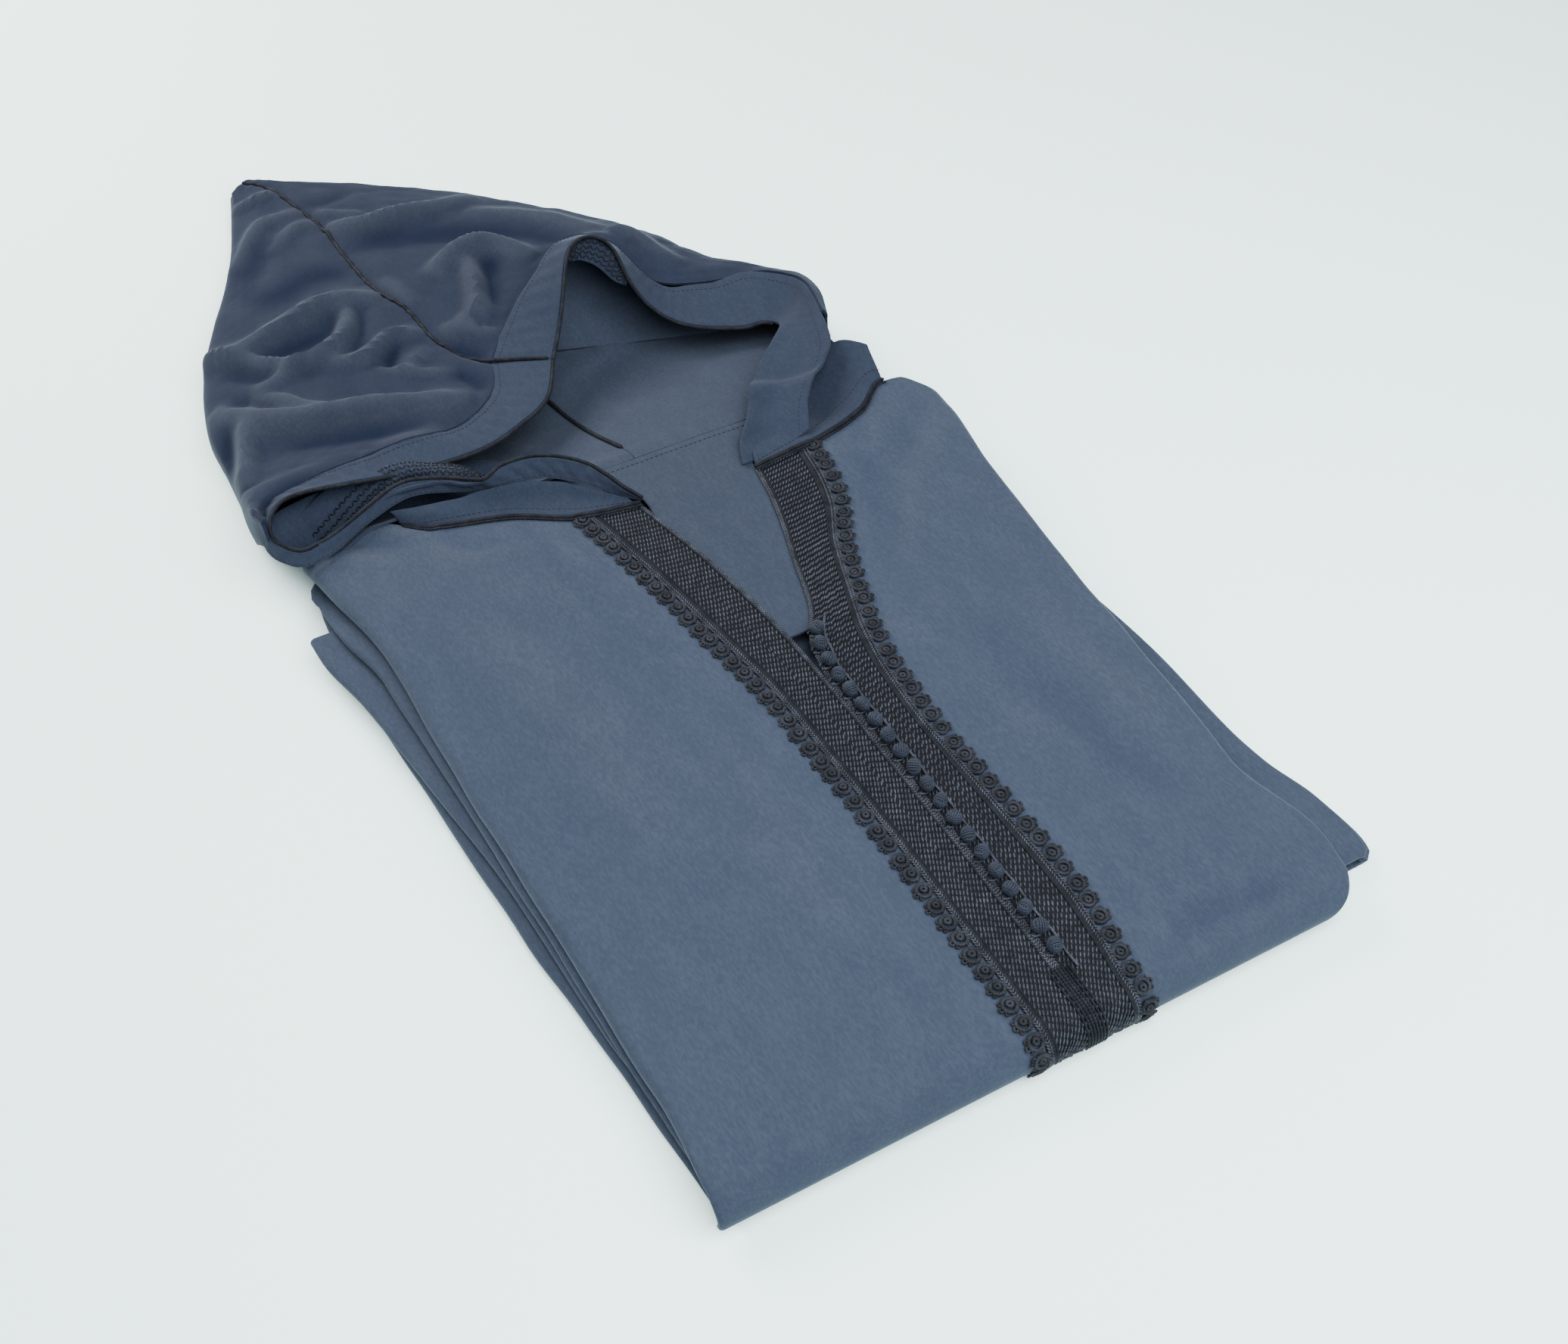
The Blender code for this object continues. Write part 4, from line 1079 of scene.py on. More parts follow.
def nap_group():
    """Short brushed nap: clouds where it lies differently, a fine grain of fibres and their relief, with
    painted light on fold crests and painted shade in troughs.
    """
    tree, wire = shader_group("brushed_nap", 0.0016, "Shade", "Brushed", "Pressed")
    wire.sockets("INPUT", "Float", Cloud_Size=0.05)
    given = wire.add("NodeGroupInput").outputs
    spot = wire.add("ShaderNodeTexCoord").outputs["Object"]
    stroked = wire.add("ShaderNodeMapping", {"Vector": spot, "Rotation": (0.0, 0.0, 0.35),
                                             "Scale": (1.0, 0.38, 1.0)}).outputs[0]
    cloud_scale = wire.math("DIVIDE", 1.0, given["Cloud Size"])
    fibre_scale = wire.math("DIVIDE", 1.0, given["Fibre Size"])
    clouds = wire.noise(spot, cloud_scale, 4.0, 0.55)
    strokes = wire.noise(stroked, wire.math("MULTIPLY", cloud_scale, 4.0), 3.0, 0.6)
    fibres = wire.noise(stroked, fibre_scale, 2.0, 0.6)
    grain = wire.noise(spot, wire.math("MULTIPLY", fibre_scale, 0.42), 2.0, 0.7)
    pressed = wire.ramp(wire.mixed(clouds, 0.4, grain, 0.6), 0.40, 0.64)
    brushed = wire.ramp(wire.mixed(strokes, 0.3, fibres, 0.7), 0.42, 0.66)
    colour = wire.blend(wire.math("MULTIPLY", pressed, 0.42), given["Shade"], given["Pressed"])
    colour = wire.blend(wire.math("MULTIPLY", brushed, 0.6), colour, given["Brushed"])
    # Painted light and shade: the colour is scaled up on fold crests and down in troughs by the fold height
    # noted on the sheet.
    crest = wire.add("ShaderNodeAttribute", attribute_name="crest").outputs["Fac"]
    painted_shading = wire.add("ShaderNodeVectorMath", {0: crest, 1: PAINTED_FOLD_SHADING, 2: (1.0, 1.0, 1.0)},
                    operation="MULTIPLY_ADD").outputs["Vector"]
    colour = wire.add("ShaderNodeVectorMath", {0: colour, 1: painted_shading}, operation="MULTIPLY").outputs["Vector"]
    roughness = wire.math("ADD", 0.84, wire.math("MULTIPLY", fibres, 0.16))
    height = wire.math("ADD", wire.mixed(fibres, 0.5, grain, 0.5), wire.math("MULTIPLY", strokes, 0.8))
    wire.add("NodeGroupOutput", {"Colour": colour, "Roughness": roughness, "Height": height})
    return tree


def thread_group():
    """Twisted thread: darker between its fibres, with painted glints in a lighter colour in random patches.
    """
    tree, wire = shader_group("twisted_thread", 0.0007, "Thread", "Glint")
    given = wire.add("NodeGroupInput").outputs
    spot = wire.add("ShaderNodeTexCoord").outputs["Object"]
    scale = wire.math("DIVIDE", 1.0, given["Fibre Size"])
    fibres = wire.noise(spot, scale, 2.0, 0.6)
    patches = wire.noise(spot, wire.math("MULTIPLY", scale, 0.09), 2.0, 0.5)
    share = wire.ramp(wire.mixed(fibres, 0.6, patches, 0.4), 0.42, 0.7)
    colour = wire.blend(share, given["Thread"], given["Glint"])
    roughness = wire.math("SUBTRACT", 0.74, wire.math("MULTIPLY", share, 0.20))
    wire.add("NodeGroupOutput", {"Colour": colour, "Roughness": roughness, "Height": fibres})
    return tree


def group_material(name, group, make_group, inputs, relief, **shine):
    """Material whose colour, roughness and bump come from a shader group that is made once."""
    made = bpy.data.materials.new(name)
    made.use_nodes = True
    wire = Wiring(made.node_tree)
    tree = bpy.data.node_groups.get(group) or make_group()
    surface = wire.add("ShaderNodeGroup", inputs, node_tree=tree).outputs
    strength, depth = relief
    bump = wire.add("ShaderNodeBump", {"Strength": strength, "Distance": depth, "Height": surface["Height"]})
    shader = made.node_tree.nodes["Principled BSDF"].inputs
    wire.feed(surface["Colour"], shader["Base Color"])
    wire.feed(surface["Roughness"], shader["Roughness"])
    wire.feed(bump.outputs["Normal"], shader["Normal"])
    for key, value in shine.items():
        shader[key.replace("_", " ")].default_value = value
    return made


def tinted(colour, share):
    """A colour times a share, or times one share for each channel, with full alpha."""
    return (*np.multiply(tuple(colour), share), 1.0)


def finish(name):
    """Finish of that name, made once."""
    found = bpy.data.materials.get(name)
    if found:
        return found
    cloth, trim = settings(), trims()
    if name in NAPS:
        shade, brushed, pressed, sheen, clouds = NAPS[name]
        inputs = {"Shade": tinted(cloth.shade, shade), "Brushed": tinted(cloth.brushed, brushed),
                  "Pressed": tinted(cloth.pressed, pressed), "Cloud Size": clouds,
                  "Fibre Size": cloth.fibre_size}
        return group_material(name, "brushed_nap", nap_group, inputs, CLOTH_RELIEF, Specular_IOR_Level=0.12,
                              Sheen_Weight=sheen * cloth.sheen, Sheen_Roughness=0.38,
                              Sheen_Tint=(0.62, 0.70, 0.86, 1.0))
    thread, share, glint, glint_share, gloss = THREADS[name]
    colours = {"shade": cloth.shade, "thread": trim.thread, "glint": trim.glint,
               "button_thread": trim.button_thread}
    inputs = {"Thread": tinted(colours[thread], share), "Glint": tinted(colours[glint], glint_share)}
    return group_material(name, "twisted_thread", thread_group, inputs, THREAD_RELIEF,
                          Specular_IOR_Level=gloss, Sheen_Weight=0.03, Sheen_Roughness=0.4,
                          Sheen_Tint=(0.7, 0.72, 0.85, 1.0))


# ---------------------------------------------------------------- the folded pile

FOLD_RADIUS = (1.3, 4.0)
FOLD_GROWS = 70
FLAP_ROOM = 0.5
CORNER_DROOP = 3.2           # how much wider the side fold opens at the shoulders
ROLL_START = -115            # how far the fronts run round the near fold, as an angle
LAYER_ANGLES = (86, 80, 72, 62, 52, 42, 31, 20, 10)
LAYER_ENDS = [
    # along, squash, inset
    (486, 0.86, 4.0),
    (492, 0.55, 9.0),
]
LAYER_END_MIDDLE = 0.42
MID_WALL = 1.0               # half of one wall of cloth
FOLDED_IN = 14.0             # flat reach of a layer beside its turned edge
SIDE_TOP = 0.40              # top of the middle layers, as a share of the pile's height
WIDEST_TURN = 5.0            # how far a turned edge bulges at most
LOW_INSET = 9                # how far the lowest layers stay inside the top one at the left side
LOW_TUCK = 18                # and how much further where the left sleeve lies there
LEFT_TURN = 9                # height of the turned edge at the left side
LAYER_ROWS = 88
FRONT_ROWS = (24, 150)       # rows of a front round the near fold and over the top
EDGE_FLAP = 0.6              # flap of a side edge where it hardly turns under


def fold_radius(along):
    """Inside radius of the turned side edge of the top layer."""
    tight, full = FOLD_RADIUS
    return tight + (full - tight) * ease(along, 0, FOLD_GROWS) + CORNER_DROOP * ease(along, 420, 500)


def half_turn(x, low, high, side, steps=7):
    """Rounded fold from one height to another at the side edge x, bulging to that side."""
    angles = np.linspace(-0.5 * math.pi, 0.5 * math.pi, steps)
    radius = 0.5 * abs(high - low)
    reach = min(radius, WIDEST_TURN)
    return [(x - side * reach * (1 - math.cos(a)), 0.5 * (low + high) + 0.5 * (high - low) * math.sin(a))
            for a in angles]


def layer_section(along, edges_at, inset):
    """Run across the pile of the cloth folded below the top layer, from its lowest layer up."""
    sway = float(waves(LAYER_SWAY, edges_at, 0.0))
    left_x = float(look_up(TOP_EDGES, edges_at, 2)) - inset
    skirt_x = float(look_up(RIGHT_LAYERS, along, 1)) + inset + sway
    side_x = float(look_up(RIGHT_LAYERS, along, 2)) + inset - 0.7 * sway
    full = float(full_height(along))
    room = 2 * float(fold_radius(along)) + CLOTH + FLAP_ROOM + MID_WALL
    low_x = left_x - LOW_INSET - LOW_TUCK * float(ease(along, 0, 6) * (1 - ease(along, 300, 310)))
    skirt_top = SKIRT_TOP * full - MID_WALL
    side_low = SIDE_LOW * full + MID_WALL
    middle = SIDE_TOP * full

    def top(x):
        return float(stack_height(x, along)) - room

    section = [(low_x - FOLDED_IN, MID_WALL), (0.0, MID_WALL), (skirt_x + FOLDED_IN, MID_WALL)]
    section += half_turn(skirt_x, MID_WALL, skirt_top, -1)
    section += [(skirt_x + FOLDED_IN, skirt_top), (low_x - FOLDED_IN, skirt_top)]
    section += half_turn(low_x, skirt_top, middle, 1)
    section += [(low_x - FOLDED_IN, middle), (side_x + FOLDED_IN, side_low)]
    section += half_turn(side_x, side_low, top(side_x + FOLDED_IN), -1)
    section += [(x, top(x)) for x in np.linspace(side_x + FOLDED_IN, left_x - FOLDED_IN, 14)]
    high = top(left_x - FOLDED_IN)
    low = max(middle + 2 * MID_WALL + SEAM_GAP, high - LEFT_TURN)
    section += half_turn(left_x - 1, high, low, 1)
    section += [(left_x - FOLDED_IN, low)]
    return section


def placed_section(section, along, rise=0.0, squash=1.0):
    """Points of a run across the pile, beyond the near fold and squashed towards a height."""
    return [(x, float(front_y(x)) + ROLL + along, rise + (z - rise) * squash) for x, z in section]


def add_folded_layers():
    """The skirt, back and sides folded out of sight: one long sheet, folded to and fro."""
    loops = []
    for angle in LAYER_ANGLES:
        squash, reach = math.cos(math.radians(angle)), ROLL * math.sin(math.radians(angle))
        loops.append(placed_section(layer_section(0.0, -angle, 4.0), -reach, ROLL, squash))
    for along in np.linspace(0, NECKLINE_ALONG, LAYER_ROWS):
        loops.append(placed_section(layer_section(along, along, 1.0), along))
    first_end = LAYER_ENDS[0][0]
    middle = LAYER_END_MIDDLE * float(full_height(first_end))
    for along, squash, inset in LAYER_ENDS:
        loops.append(placed_section(layer_section(first_end, first_end, inset), along, middle, squash))
    piece = add_sheet("folded_layers_cloth", loops, CLOTH, "outer_cloth", "brushed_cloth", "folded_layers",
                      grow=0.0)


def side_turn(x_edge, along, side):
    """Cross-section of the top layer where it turns under at a side edge, from the flap outwards."""
    opened = float(ease(along, 0, FOLD_GROWS))
    radius = float(fold_radius(along))
    angles = np.radians(np.linspace(60 + 120 * opened, 0, 15))
    x = x_edge - side * (radius - radius * np.sin(angles) + CLOTH)
    drop = -radius * (1 - np.cos(angles))
    flap = EDGE_FLAP + (FLAP - EDGE_FLAP) * opened
    tail = np.linspace(1, 0.25, 3) * flap
    slope = 0.0 if opened > 0.3 else (drop[0] - drop[1]) / max(abs(x[0] - x[1]), 1e-6)
    x = np.concatenate([x[0] - side * tail, x])
    drop = np.concatenate([drop[0] + slope * tail * 0.3, drop])
    return x, drop


def front_grid(top_line, edge_number, side, inner_steps):
    """Grid of one front, from under the near fold to the neck seam."""
    stations = [(angle, 0.0) for angle in np.linspace(ROLL_START, -5, FRONT_ROWS[0])]
    stations += [(0.0, share) for share in np.linspace(0, 1, FRONT_ROWS[1])]
    shares = np.arange(1, inner_steps + 1) / inner_steps
    rows = []
    for angle, share in stations:
        guide = angle if angle < 0 else share * NECKLINE_ALONG
        sway = float(waves(FRONT_SWAY, guide, 0.0) * ease(guide, 0, 60))
        turn_x, drop = side_turn(float(look_up(TOP_EDGES, guide, edge_number)) + sway, max(guide, 0.0), side)

        def along_at(x):
            return np.full(np.shape(x), angle) if angle < 0 else share * along_of(x, look_up(top_line, x, 1))

        x = turn_x[-1] + (inner_edge(side, guide) - turn_x[-1]) * shares
        x = turn_x[-1] + (inner_edge(side, along_at(x)) - turn_x[-1]) * shares
        x, drop = np.concatenate([turn_x, x]), np.concatenate([drop, np.zeros(inner_steps)])
        row = pile_points(x, along_at(x), SEAM_GAP + drop)
        rows.append(row[::-1] if side > 0 else row)
    return np.array(rows)


BAND_OVERHANG = 2.0
FRONT_PAINTED_SHADING = 0.035            # painted light and shade on the fronts for each millimetre of fold height: crests lighter, troughs darker


def inner_edge(side, along):
    """Inner edge of a front: the opening, then under its band's inner edge."""
    edge = look_up(LEFT_BAND, along, 1) if side > 0 else look_up(RIGHT_BAND, along, 2)
    return edge + side * BAND_OVERHANG * ease(along, V_POINT - 30, V_POINT + 10)


def add_fronts():
    """The two fronts, which wrap round the near fold and turn under at the sides."""
    sides = (
        ("right", FRONT_RIGHT_TOP, 1, -1, 84, (0.235, 0.53)),
        ("left", FRONT_LEFT_TOP, 2, 1, 74, (0.19, 0.51)),
    )
    for side, top_line, number, sign, steps, flat in sides:
        grid = front_grid(top_line, number, sign, steps)
        piece = add_sheet(side + "_front_cloth", grid, CLOTH, "outer_cloth", "brushed_cloth", "front_" + side)
        along = along_of(grid[..., 0], grid[..., 1])
        # Painted light on the fronts' fold crests and painted shade in their troughs.
        mark_painted_fold_shading(piece, FRONT_PAINTED_SHADING * front_relief(grid[..., 0], along) * ease(along, 0, 12))


BACK_BETWEEN_FRONTS = (284, 300, 320, 345, 370, 395, 412)
BACK_CLEAR = (1.2, 1.6)
BACK_BEYOND = [
    # along, right_x, left_x
    (440, -16, 64),
    (456, -24, 66),
    (NECKLINE_ALONG + 0.1, NECKLINE_RIGHT, NECKLINE_LEFT),
]
BACK_FOLDS = [
    (1.4, 16, 14, [(-8, 340), (4, 400), (16, 460)]),
    (-1.0, 10, 10, [(20, 440), (18, 410), (14, 380)]),
]


def add_back():
    """Inside of the back, seen through the open neck."""
    ends = [(a, float(inner_edge(-1, a)) + BACK_CLEAR[0], float(inner_edge(1, a)) - BACK_CLEAR[1])
            for a in BACK_BETWEEN_FRONTS] + BACK_BEYOND
    grid = np.array([pile_points(np.linspace(right_x, left_x, 40), along, SEAM_GAP)
                     for along, right_x, left_x in through(ends, even(len(ends), 7))])
    grid[..., 2] += fold_height(BACK_FOLDS, grid[..., 0], grid[..., 1])
    piece = add_sheet("back_cloth", grid, CLOTH, "cloth_wrong_side_and_shade", "cloth_inside", "back")


# Edge of the left sleeve from its outermost point up: inset, and height as a share of its top.
SLEEVE_LEFT_EDGE = ((0, 0.34), (2.2, 0.5), (5.0, 0.58), (3.6, 0.74), (4.6, 0.9), (11, 1.0))


def add_sleeves():
    """Edges of the two sleeves, folded into the stack and showing beside it."""
    rows = []
    low, high = SLEEVE_LIFTS
    for along in np.linspace(*SLEEVE_RIGHT_ENDS, 80):
        outer = float(look_up(RIGHT_LAYERS, along, 3)) + MID_WALL
        inner = float(look_up(RIGHT_LAYERS, along, 1)) + SLEEVE_DEPTH
        full = float(full_height(along))
        base, top = full * low + SEAM_GAP + MID_WALL, full * high - SEAM_GAP - MID_WALL
        section = [(inner, base), (0.5 * (inner + outer), base), (outer + 8, base)]
        section += half_turn(outer, base, top, -1, 9)
        section += [(outer + 8, top), (0.5 * (inner + outer), top), (inner, top)]
        rows.append(placed_section(section, along))
    piece = add_sheet("right_sleeve_cloth", rows, CLOTH, "outer_cloth", "brushed_cloth", "sleeve_right",
                      grow=0.0)
    rows = []
    for along in np.linspace(*SLEEVE_LEFT_ENDS, 70):
        outer = float(look_up(LEFT_SLEEVE, along, 1)) - MID_WALL
        inner = float(look_up(TOP_EDGES, along, 2)) - SLEEVE_LEFT_TUCK
        top = min(LEFT_SLEEVE_TOP, SLEEVE_LEFT_SHARE * float(full_height(along)) - SEAM_GAP) - MID_WALL
        section = [(inner, MID_WALL), (outer - 9, MID_WALL), (outer - 2.0, 2.2)]
        section += [(outer - inset, share * top) for inset, share in SLEEVE_LEFT_EDGE] + [(inner, top)]
        section = through([(x, z, 0.0) for x, z in section], even(len(section), 4))[:, :2]
        rows.append(placed_section(section, along))
    piece = add_sheet("left_sleeve_cloth", rows, CLOTH, "outer_cloth", "brushed_cloth", "sleeve_left",
                      grow=0.0)


# ---------------------------------------------------------------- trims on the fronts

BAND_TOP = 400               # along: last station of the bands before their cut end at the neck
BAND_END = 2.2
BAND_END_STEPS = 24
UNDER_FOLD = -112            # how far round the near fold the bands run, as an angle
ON_CLOTH = CLOTH + 2 * SEAM_GAP
BAND_GROUND = 0.8            # thickness of the cloth that the braid is sewn on
ON_BAND = ON_CLOTH + BAND_GROUND
CHAIN_SHARES = (0.025, 0.08, 0.955, 0.99)
TAPE_SHARE = 0.135
EDGE_CORD_SHARES = (0.178, 0.915)
PLAIT_GROUPS = ((0.225, 0.52), (0.575, 0.87))
PLAIT_COLUMNS = 6
PLAIT_SHARE = 0.8            # length of a plait stitch as a share of its pitch
PLAIT_SIZE = (1.25, 1.5)     # width and height
CHAIN_SIZE = (2.7, 1.25, 1.3)
ROW_SLANT = 0.62             # how far a row of stitches drops for each step across the band
END_CORDS = 7                # plain cords that close the opening below the buttons
END_CORD_GAP = 1.95
BANDS = (
    # name, table, its columns from the outer to the inner edge, far edge of the front and side
    ("right", RIGHT_BAND, (1, 2), FRONT_RIGHT_TOP, -1),
    ("left", LEFT_BAND, (2, 1), FRONT_LEFT_TOP, 1),
)


def band_grid(band, lift, shares):
    """Grid of a strip of a band at shares of its width from its outer edge, up to the neck seam."""
    _, table, columns, top_line, _ = band

    def across(along):
        start, end = (float(look_up(table, along, number)) for number in columns)
        return start + (end - start) * np.asarray(shares, float)

    rows = [pile_points(across(max(along, 0.0)), along, lift)
            for along in (*np.arange(UNDER_FOLD, -2, 6.0), *np.arange(0, BAND_TOP + 1, 3.0))]
    near_x, far_x = across(BAND_TOP), across(table[-1][0])
    far = along_of(far_x, look_up(top_line, far_x, 1)) - BAND_END
    for share in np.arange(1, BAND_END_STEPS + 1) / BAND_END_STEPS:
        rows.append(pile_points(near_x + (far_x - near_x) * share, BAND_TOP + (far - BAND_TOP) * share, lift))
    return np.array(rows)


def band_paths(band, shares, lift):
    """Paths along a band at shares of its width, with the direction out of the cloth."""
    grid = band_grid(band, lift, shares)
    outward = grid_normals(band_grid(band, lift, (0.0, 0.5, 1.0)))[:, 1]
    outward = outward if outward[-1][2] > 0 else -outward
    return [grid[:, number] for number in range(len(shares))], [outward] * len(shares)


def staggered(path, up, pitch):
    """Column of stitches whose start is moved along the band, so that rows of stitches run slanted."""
    lengths = lengths_along(path)
    start = (-ROW_SLANT * path[len(path) // 2][0]) % pitch
    stations = np.concatenate([[start], lengths[lengths > start + 0.2]])
    return at_lengths(stations, lengths, path), at_lengths(stations, lengths, up)


def add_bands():
    """Braid bands: a ground, columns of slanted plait, chains, tapes and smooth edge cords."""
    trim = trims()
    plait = stitch_shape(trim.plait_pitch / MM * PLAIT_SHARE, *PLAIT_SIZE)
    chain = stitch_shape(*CHAIN_SIZE)
    shares = [a + (b - a) * k / (PLAIT_COLUMNS - 1) for a, b in PLAIT_GROUPS for k in range(PLAIT_COLUMNS)]
    for band in BANDS:
        side = band[0]
        grid = band_grid(band, ON_CLOTH, np.linspace(0, 1, 12))
        ground = add_sheet("braid_ground_" + side, faced(grid, band[-1]), BAND_GROUND, "braid_ground",
                           "braid", "braid_" + side)
        cuts = [staggered(path, up, trim.plait_pitch / MM)
                for path, up in zip(*band_paths(band, shares, ON_BAND + 0.3))]
        plaits = lay_run("braid_plait_" + side, *zip(*cuts), plait, "braid_thread", "braid",
                         senses=[-1.0] * len(cuts), pitch=trim.plait_pitch,
                         slant=math.radians(trim.plait_slant), turn_wander=0.12, size_wander=0.08,
                         place_wander=0.00012, seed=4)
        chains = lay_run("braid_chains_" + side, *band_paths(band, CHAIN_SHARES, ON_BAND + 0.25), chain,
                         "braid_thread", "braid", senses=[1.0, -1.0, 1.0, -1.0], pitch=0.0019,
                         slant=math.radians(38), turn_wander=0.08, size_wander=0.05, seed=6)
        cords = [cord_grid(path, 0.62, 9.0, 0.05, 6)
                 for path in band_paths(band, EDGE_CORD_SHARES, ON_BAND + 0.45)[0]]
        cords.append(tape_grid(band_paths(band, (TAPE_SHARE,), ON_BAND + 0.2)[0][0], 1.15, 0.45))
        edge_cords = closed_tube("braid_edge_cords_" + side, cords, "braid")


def add_opening_cords():
    """Plain cords that lie side by side over the opening below the last button."""
    cords = []
    for number in range(END_CORDS):
        off = number - 0.5 * (END_CORDS - 1)
        start = 21 - 5 * abs(off) / END_CORDS
        alongs = np.concatenate([np.arange(UNDER_FOLD, 0, 4.0), np.arange(0, start, 2.0), [start]])
        path = pile_points(np.full(len(alongs), 0.6 + END_CORD_GAP * off), alongs, ON_BAND + 0.9)
        path[-1][2] -= 0.8
        cords.append(cord_grid(path, 0.8, 3.2, 0.22, 8))
    closed_tube("opening_cords", cords, "braid")


def bead_ring(x, y, radius, cord, beads, rise, steps, sides, sweep=2 * math.pi, start=0.0):
    """Rings of a bead-like twisted loop that lies flat, and whether it closes."""
    closed = sweep == 2 * math.pi
    angles = start + sweep * np.arange(steps) / (steps if closed else steps - 1)
    turn = circle(sides)
    girth = cord * (0.80 + 0.20 * np.abs(np.cos(0.5 * beads * angles[:, None] + 0.7 * turn[None, :])))
    reach = radius + girth * np.cos(turn)[None, :]
    return np.stack([x + reach * np.cos(angles)[:, None], y + reach * np.sin(angles)[:, None],
                     rise + girth * np.sin(turn)[None, :]], axis=-1), closed


# One loop of the edging: its coil, the coil's filling, three loops at its tip and its two feet.
LOOP_RINGS = [
    # x, y, radius, cord, beads, rise, steps, sides, then sweep and start where it stays open
    (0.0, 4.4, 4.0, 1.3, 13, 1.0, 22, 5),
    (0.5, 4.2, 1.45, 1.15, 7, 1.5, 11, 5),
    (-0.6, 9.6, 1.2, 0.8, 6, 0.85, 9, 4),
    (2.6, 8.7, 1.0, 0.75, 5, 0.8, 8, 4),
    (-3.6, 7.9, 0.9, 0.7, 5, 0.8, 8, 4),
    (4.9, -0.5, 3.7, 1.15, 9, 0.9, 7, 4, math.pi * 0.62, math.pi * 0.52),
    (-4.9, -0.5, 3.7, 1.15, 9, 0.9, 7, 4, math.pi * 0.55, -0.03 * math.pi),
]


def loop_shape():
    """One loop of the edging: a round coil of cord with smaller loops at its tip and two feet."""
    vertices, faces = [], []
    for row in LOOP_RINGS:
        grid, closed = bead_ring(*row)
        down, sides = grid.shape[:2]
        first = len(vertices)
        vertices += grid.reshape(-1, 3).tolist()
        faces += ring_faces(down, sides, first, closed)
        if not closed:
            last = first + (down - 1) * sides
            faces += [tuple(range(first, first + sides)), tuple(reversed(range(last, last + sides)))]
    return loose_shape("edging_loop", vertices, faces)


def add_looped_edging():
    """Looped edging along the outer edge of each band."""
    shape = loop_shape()
    for band in BANDS:
        (path,), (up,) = band_paths(band, (0.0,), ON_CLOTH)
        lay_run("looped_edging_" + band[0], [path[::-band[-1]]], [up[::-band[-1]]], shape, "edging_thread",
                "looped_edging", "picot_" + band[0], pitch=trims().loop_pitch, turn_wander=0.10,
                size_wander=0.05, place_wander=0.0003, seed=9)


STRAND = 0.62                # radius of a button's cord
STRANDS_IN_BAND = 4
STRAND_STEPS = 22
WEAVE = 0.085                # how far the bands of a knot pass over and under, as a share
CORE = 0.84                  # filling below the strands, as a share of their radius
CORE_SIDES = 16


def knot_shape():
    """Knotted ball button: three bands of parallel strands that pass over and under each other."""
    radius = BUTTON - STRAND
    vertices, faces = [], []
    angles, around = circle(STRAND_STEPS), circle(4)
    for axis in range(3):
        for strand in range(STRANDS_IN_BAND):
            off = (strand - 0.5 * (STRANDS_IN_BAND - 1)) * 2.0 * STRAND
            ring = math.sqrt(radius ** 2 - off ** 2)
            weave = 1 + WEAVE * np.cos(2 * angles + (math.pi if axis == 1 else 0.0)) * (1 if axis < 2 else -1)
            path = [ring * weave * np.cos(angles), ring * weave * np.sin(angles), off * weave]
            path = np.roll(np.stack(path, axis=-1), axis, axis=1)
            tangent = np.roll(path, -1, axis=0) - np.roll(path, 1, axis=0)
            tangent /= np.linalg.norm(tangent, axis=1)[:, None]
            out = path / np.linalg.norm(path, axis=1)[:, None]
            wide = np.cross(tangent, out)
            faces += ring_faces(STRAND_STEPS, 4, len(vertices), closed=True, flip=True)
            grid = (path[:, None] + out[:, None] * (STRAND * np.cos(around))[None, :, None]
                    + wide[:, None] * (STRAND * np.sin(around))[None, :, None])
            vertices += grid.reshape(-1, 3).tolist()
    first = len(vertices)
    tilts = circle(CORE_SIDES)[1:CORE_SIDES // 2]
    for tilt in tilts:
        for turn in circle(CORE_SIDES):
            vertices.append([CORE * radius * math.sin(tilt) * math.cos(turn),
                             CORE * radius * math.sin(tilt) * math.sin(turn), CORE * radius * math.cos(tilt)])
    faces += ring_faces(len(tilts), CORE_SIDES, first)
    last = len(vertices) - CORE_SIDES
    faces += [tuple(range(first, first + CORE_SIDES)), tuple(reversed(range(last, last + CORE_SIDES)))]
    return loose_shape("knotted_ball", vertices, faces)


def add_buttons():
    """Knotted ball buttons in one row, with the loops that they pass through and the cord beside them."""
    first, last = BUTTONS_ALONG
    alongs = np.linspace(first, last, BUTTON_COUNT)
    x = look_up(LEFT_BAND, alongs, 1) + BUTTON
    centres = pile_points(x, alongs, CLOTH + BRAID + 3 * SEAM_GAP + BUTTON)
    leans = np.random.default_rng(17).uniform(-0.5, 0.5, (BUTTON_COUNT, 2))
    length = lengths_along(centres)[-1] * MM
    lay_run("knotted_buttons", [centres], [[(*lean, 1.0) for lean in leans]], knot_shape(), "knot_thread",
            "knotted_button", *["button_%02d" % (n + 1) for n in range(BUTTON_COUNT)],
            pitch=length / (BUTTON_COUNT - 0.999), turn_wander=1.2, size_wander=0.02, seed=2)
    loops = []
    ground = ON_BAND + 0.9
    turn = np.linspace(0.12 * math.pi, 1.88 * math.pi, 22)
    for along, middle in zip(alongs, x):
        loop = pile_points(middle - 2.1 - 3.6 * np.cos(turn), along + 2.6 * np.sin(turn), ground + 0.4)
        loops.append(cord_grid(loop, 0.75, 2.6, 0.2, 6))
    run = np.arange(last - 14, first + 12, 1.5)
    wander = 0.5 * np.sin(run / 5.1)
    beside_row = pile_points(look_up(LEFT_BAND, run, 1) + 2 * BUTTON + 1.1 + wander, run, ground + 0.2)
    loops.append(cord_grid(beside_row, 0.95, 3.4, 0.24, 8))
    closed_tube("button_loops", loops, "knotted_button", material="braid_thread")


# ---------------------------------------------------------------- the hood

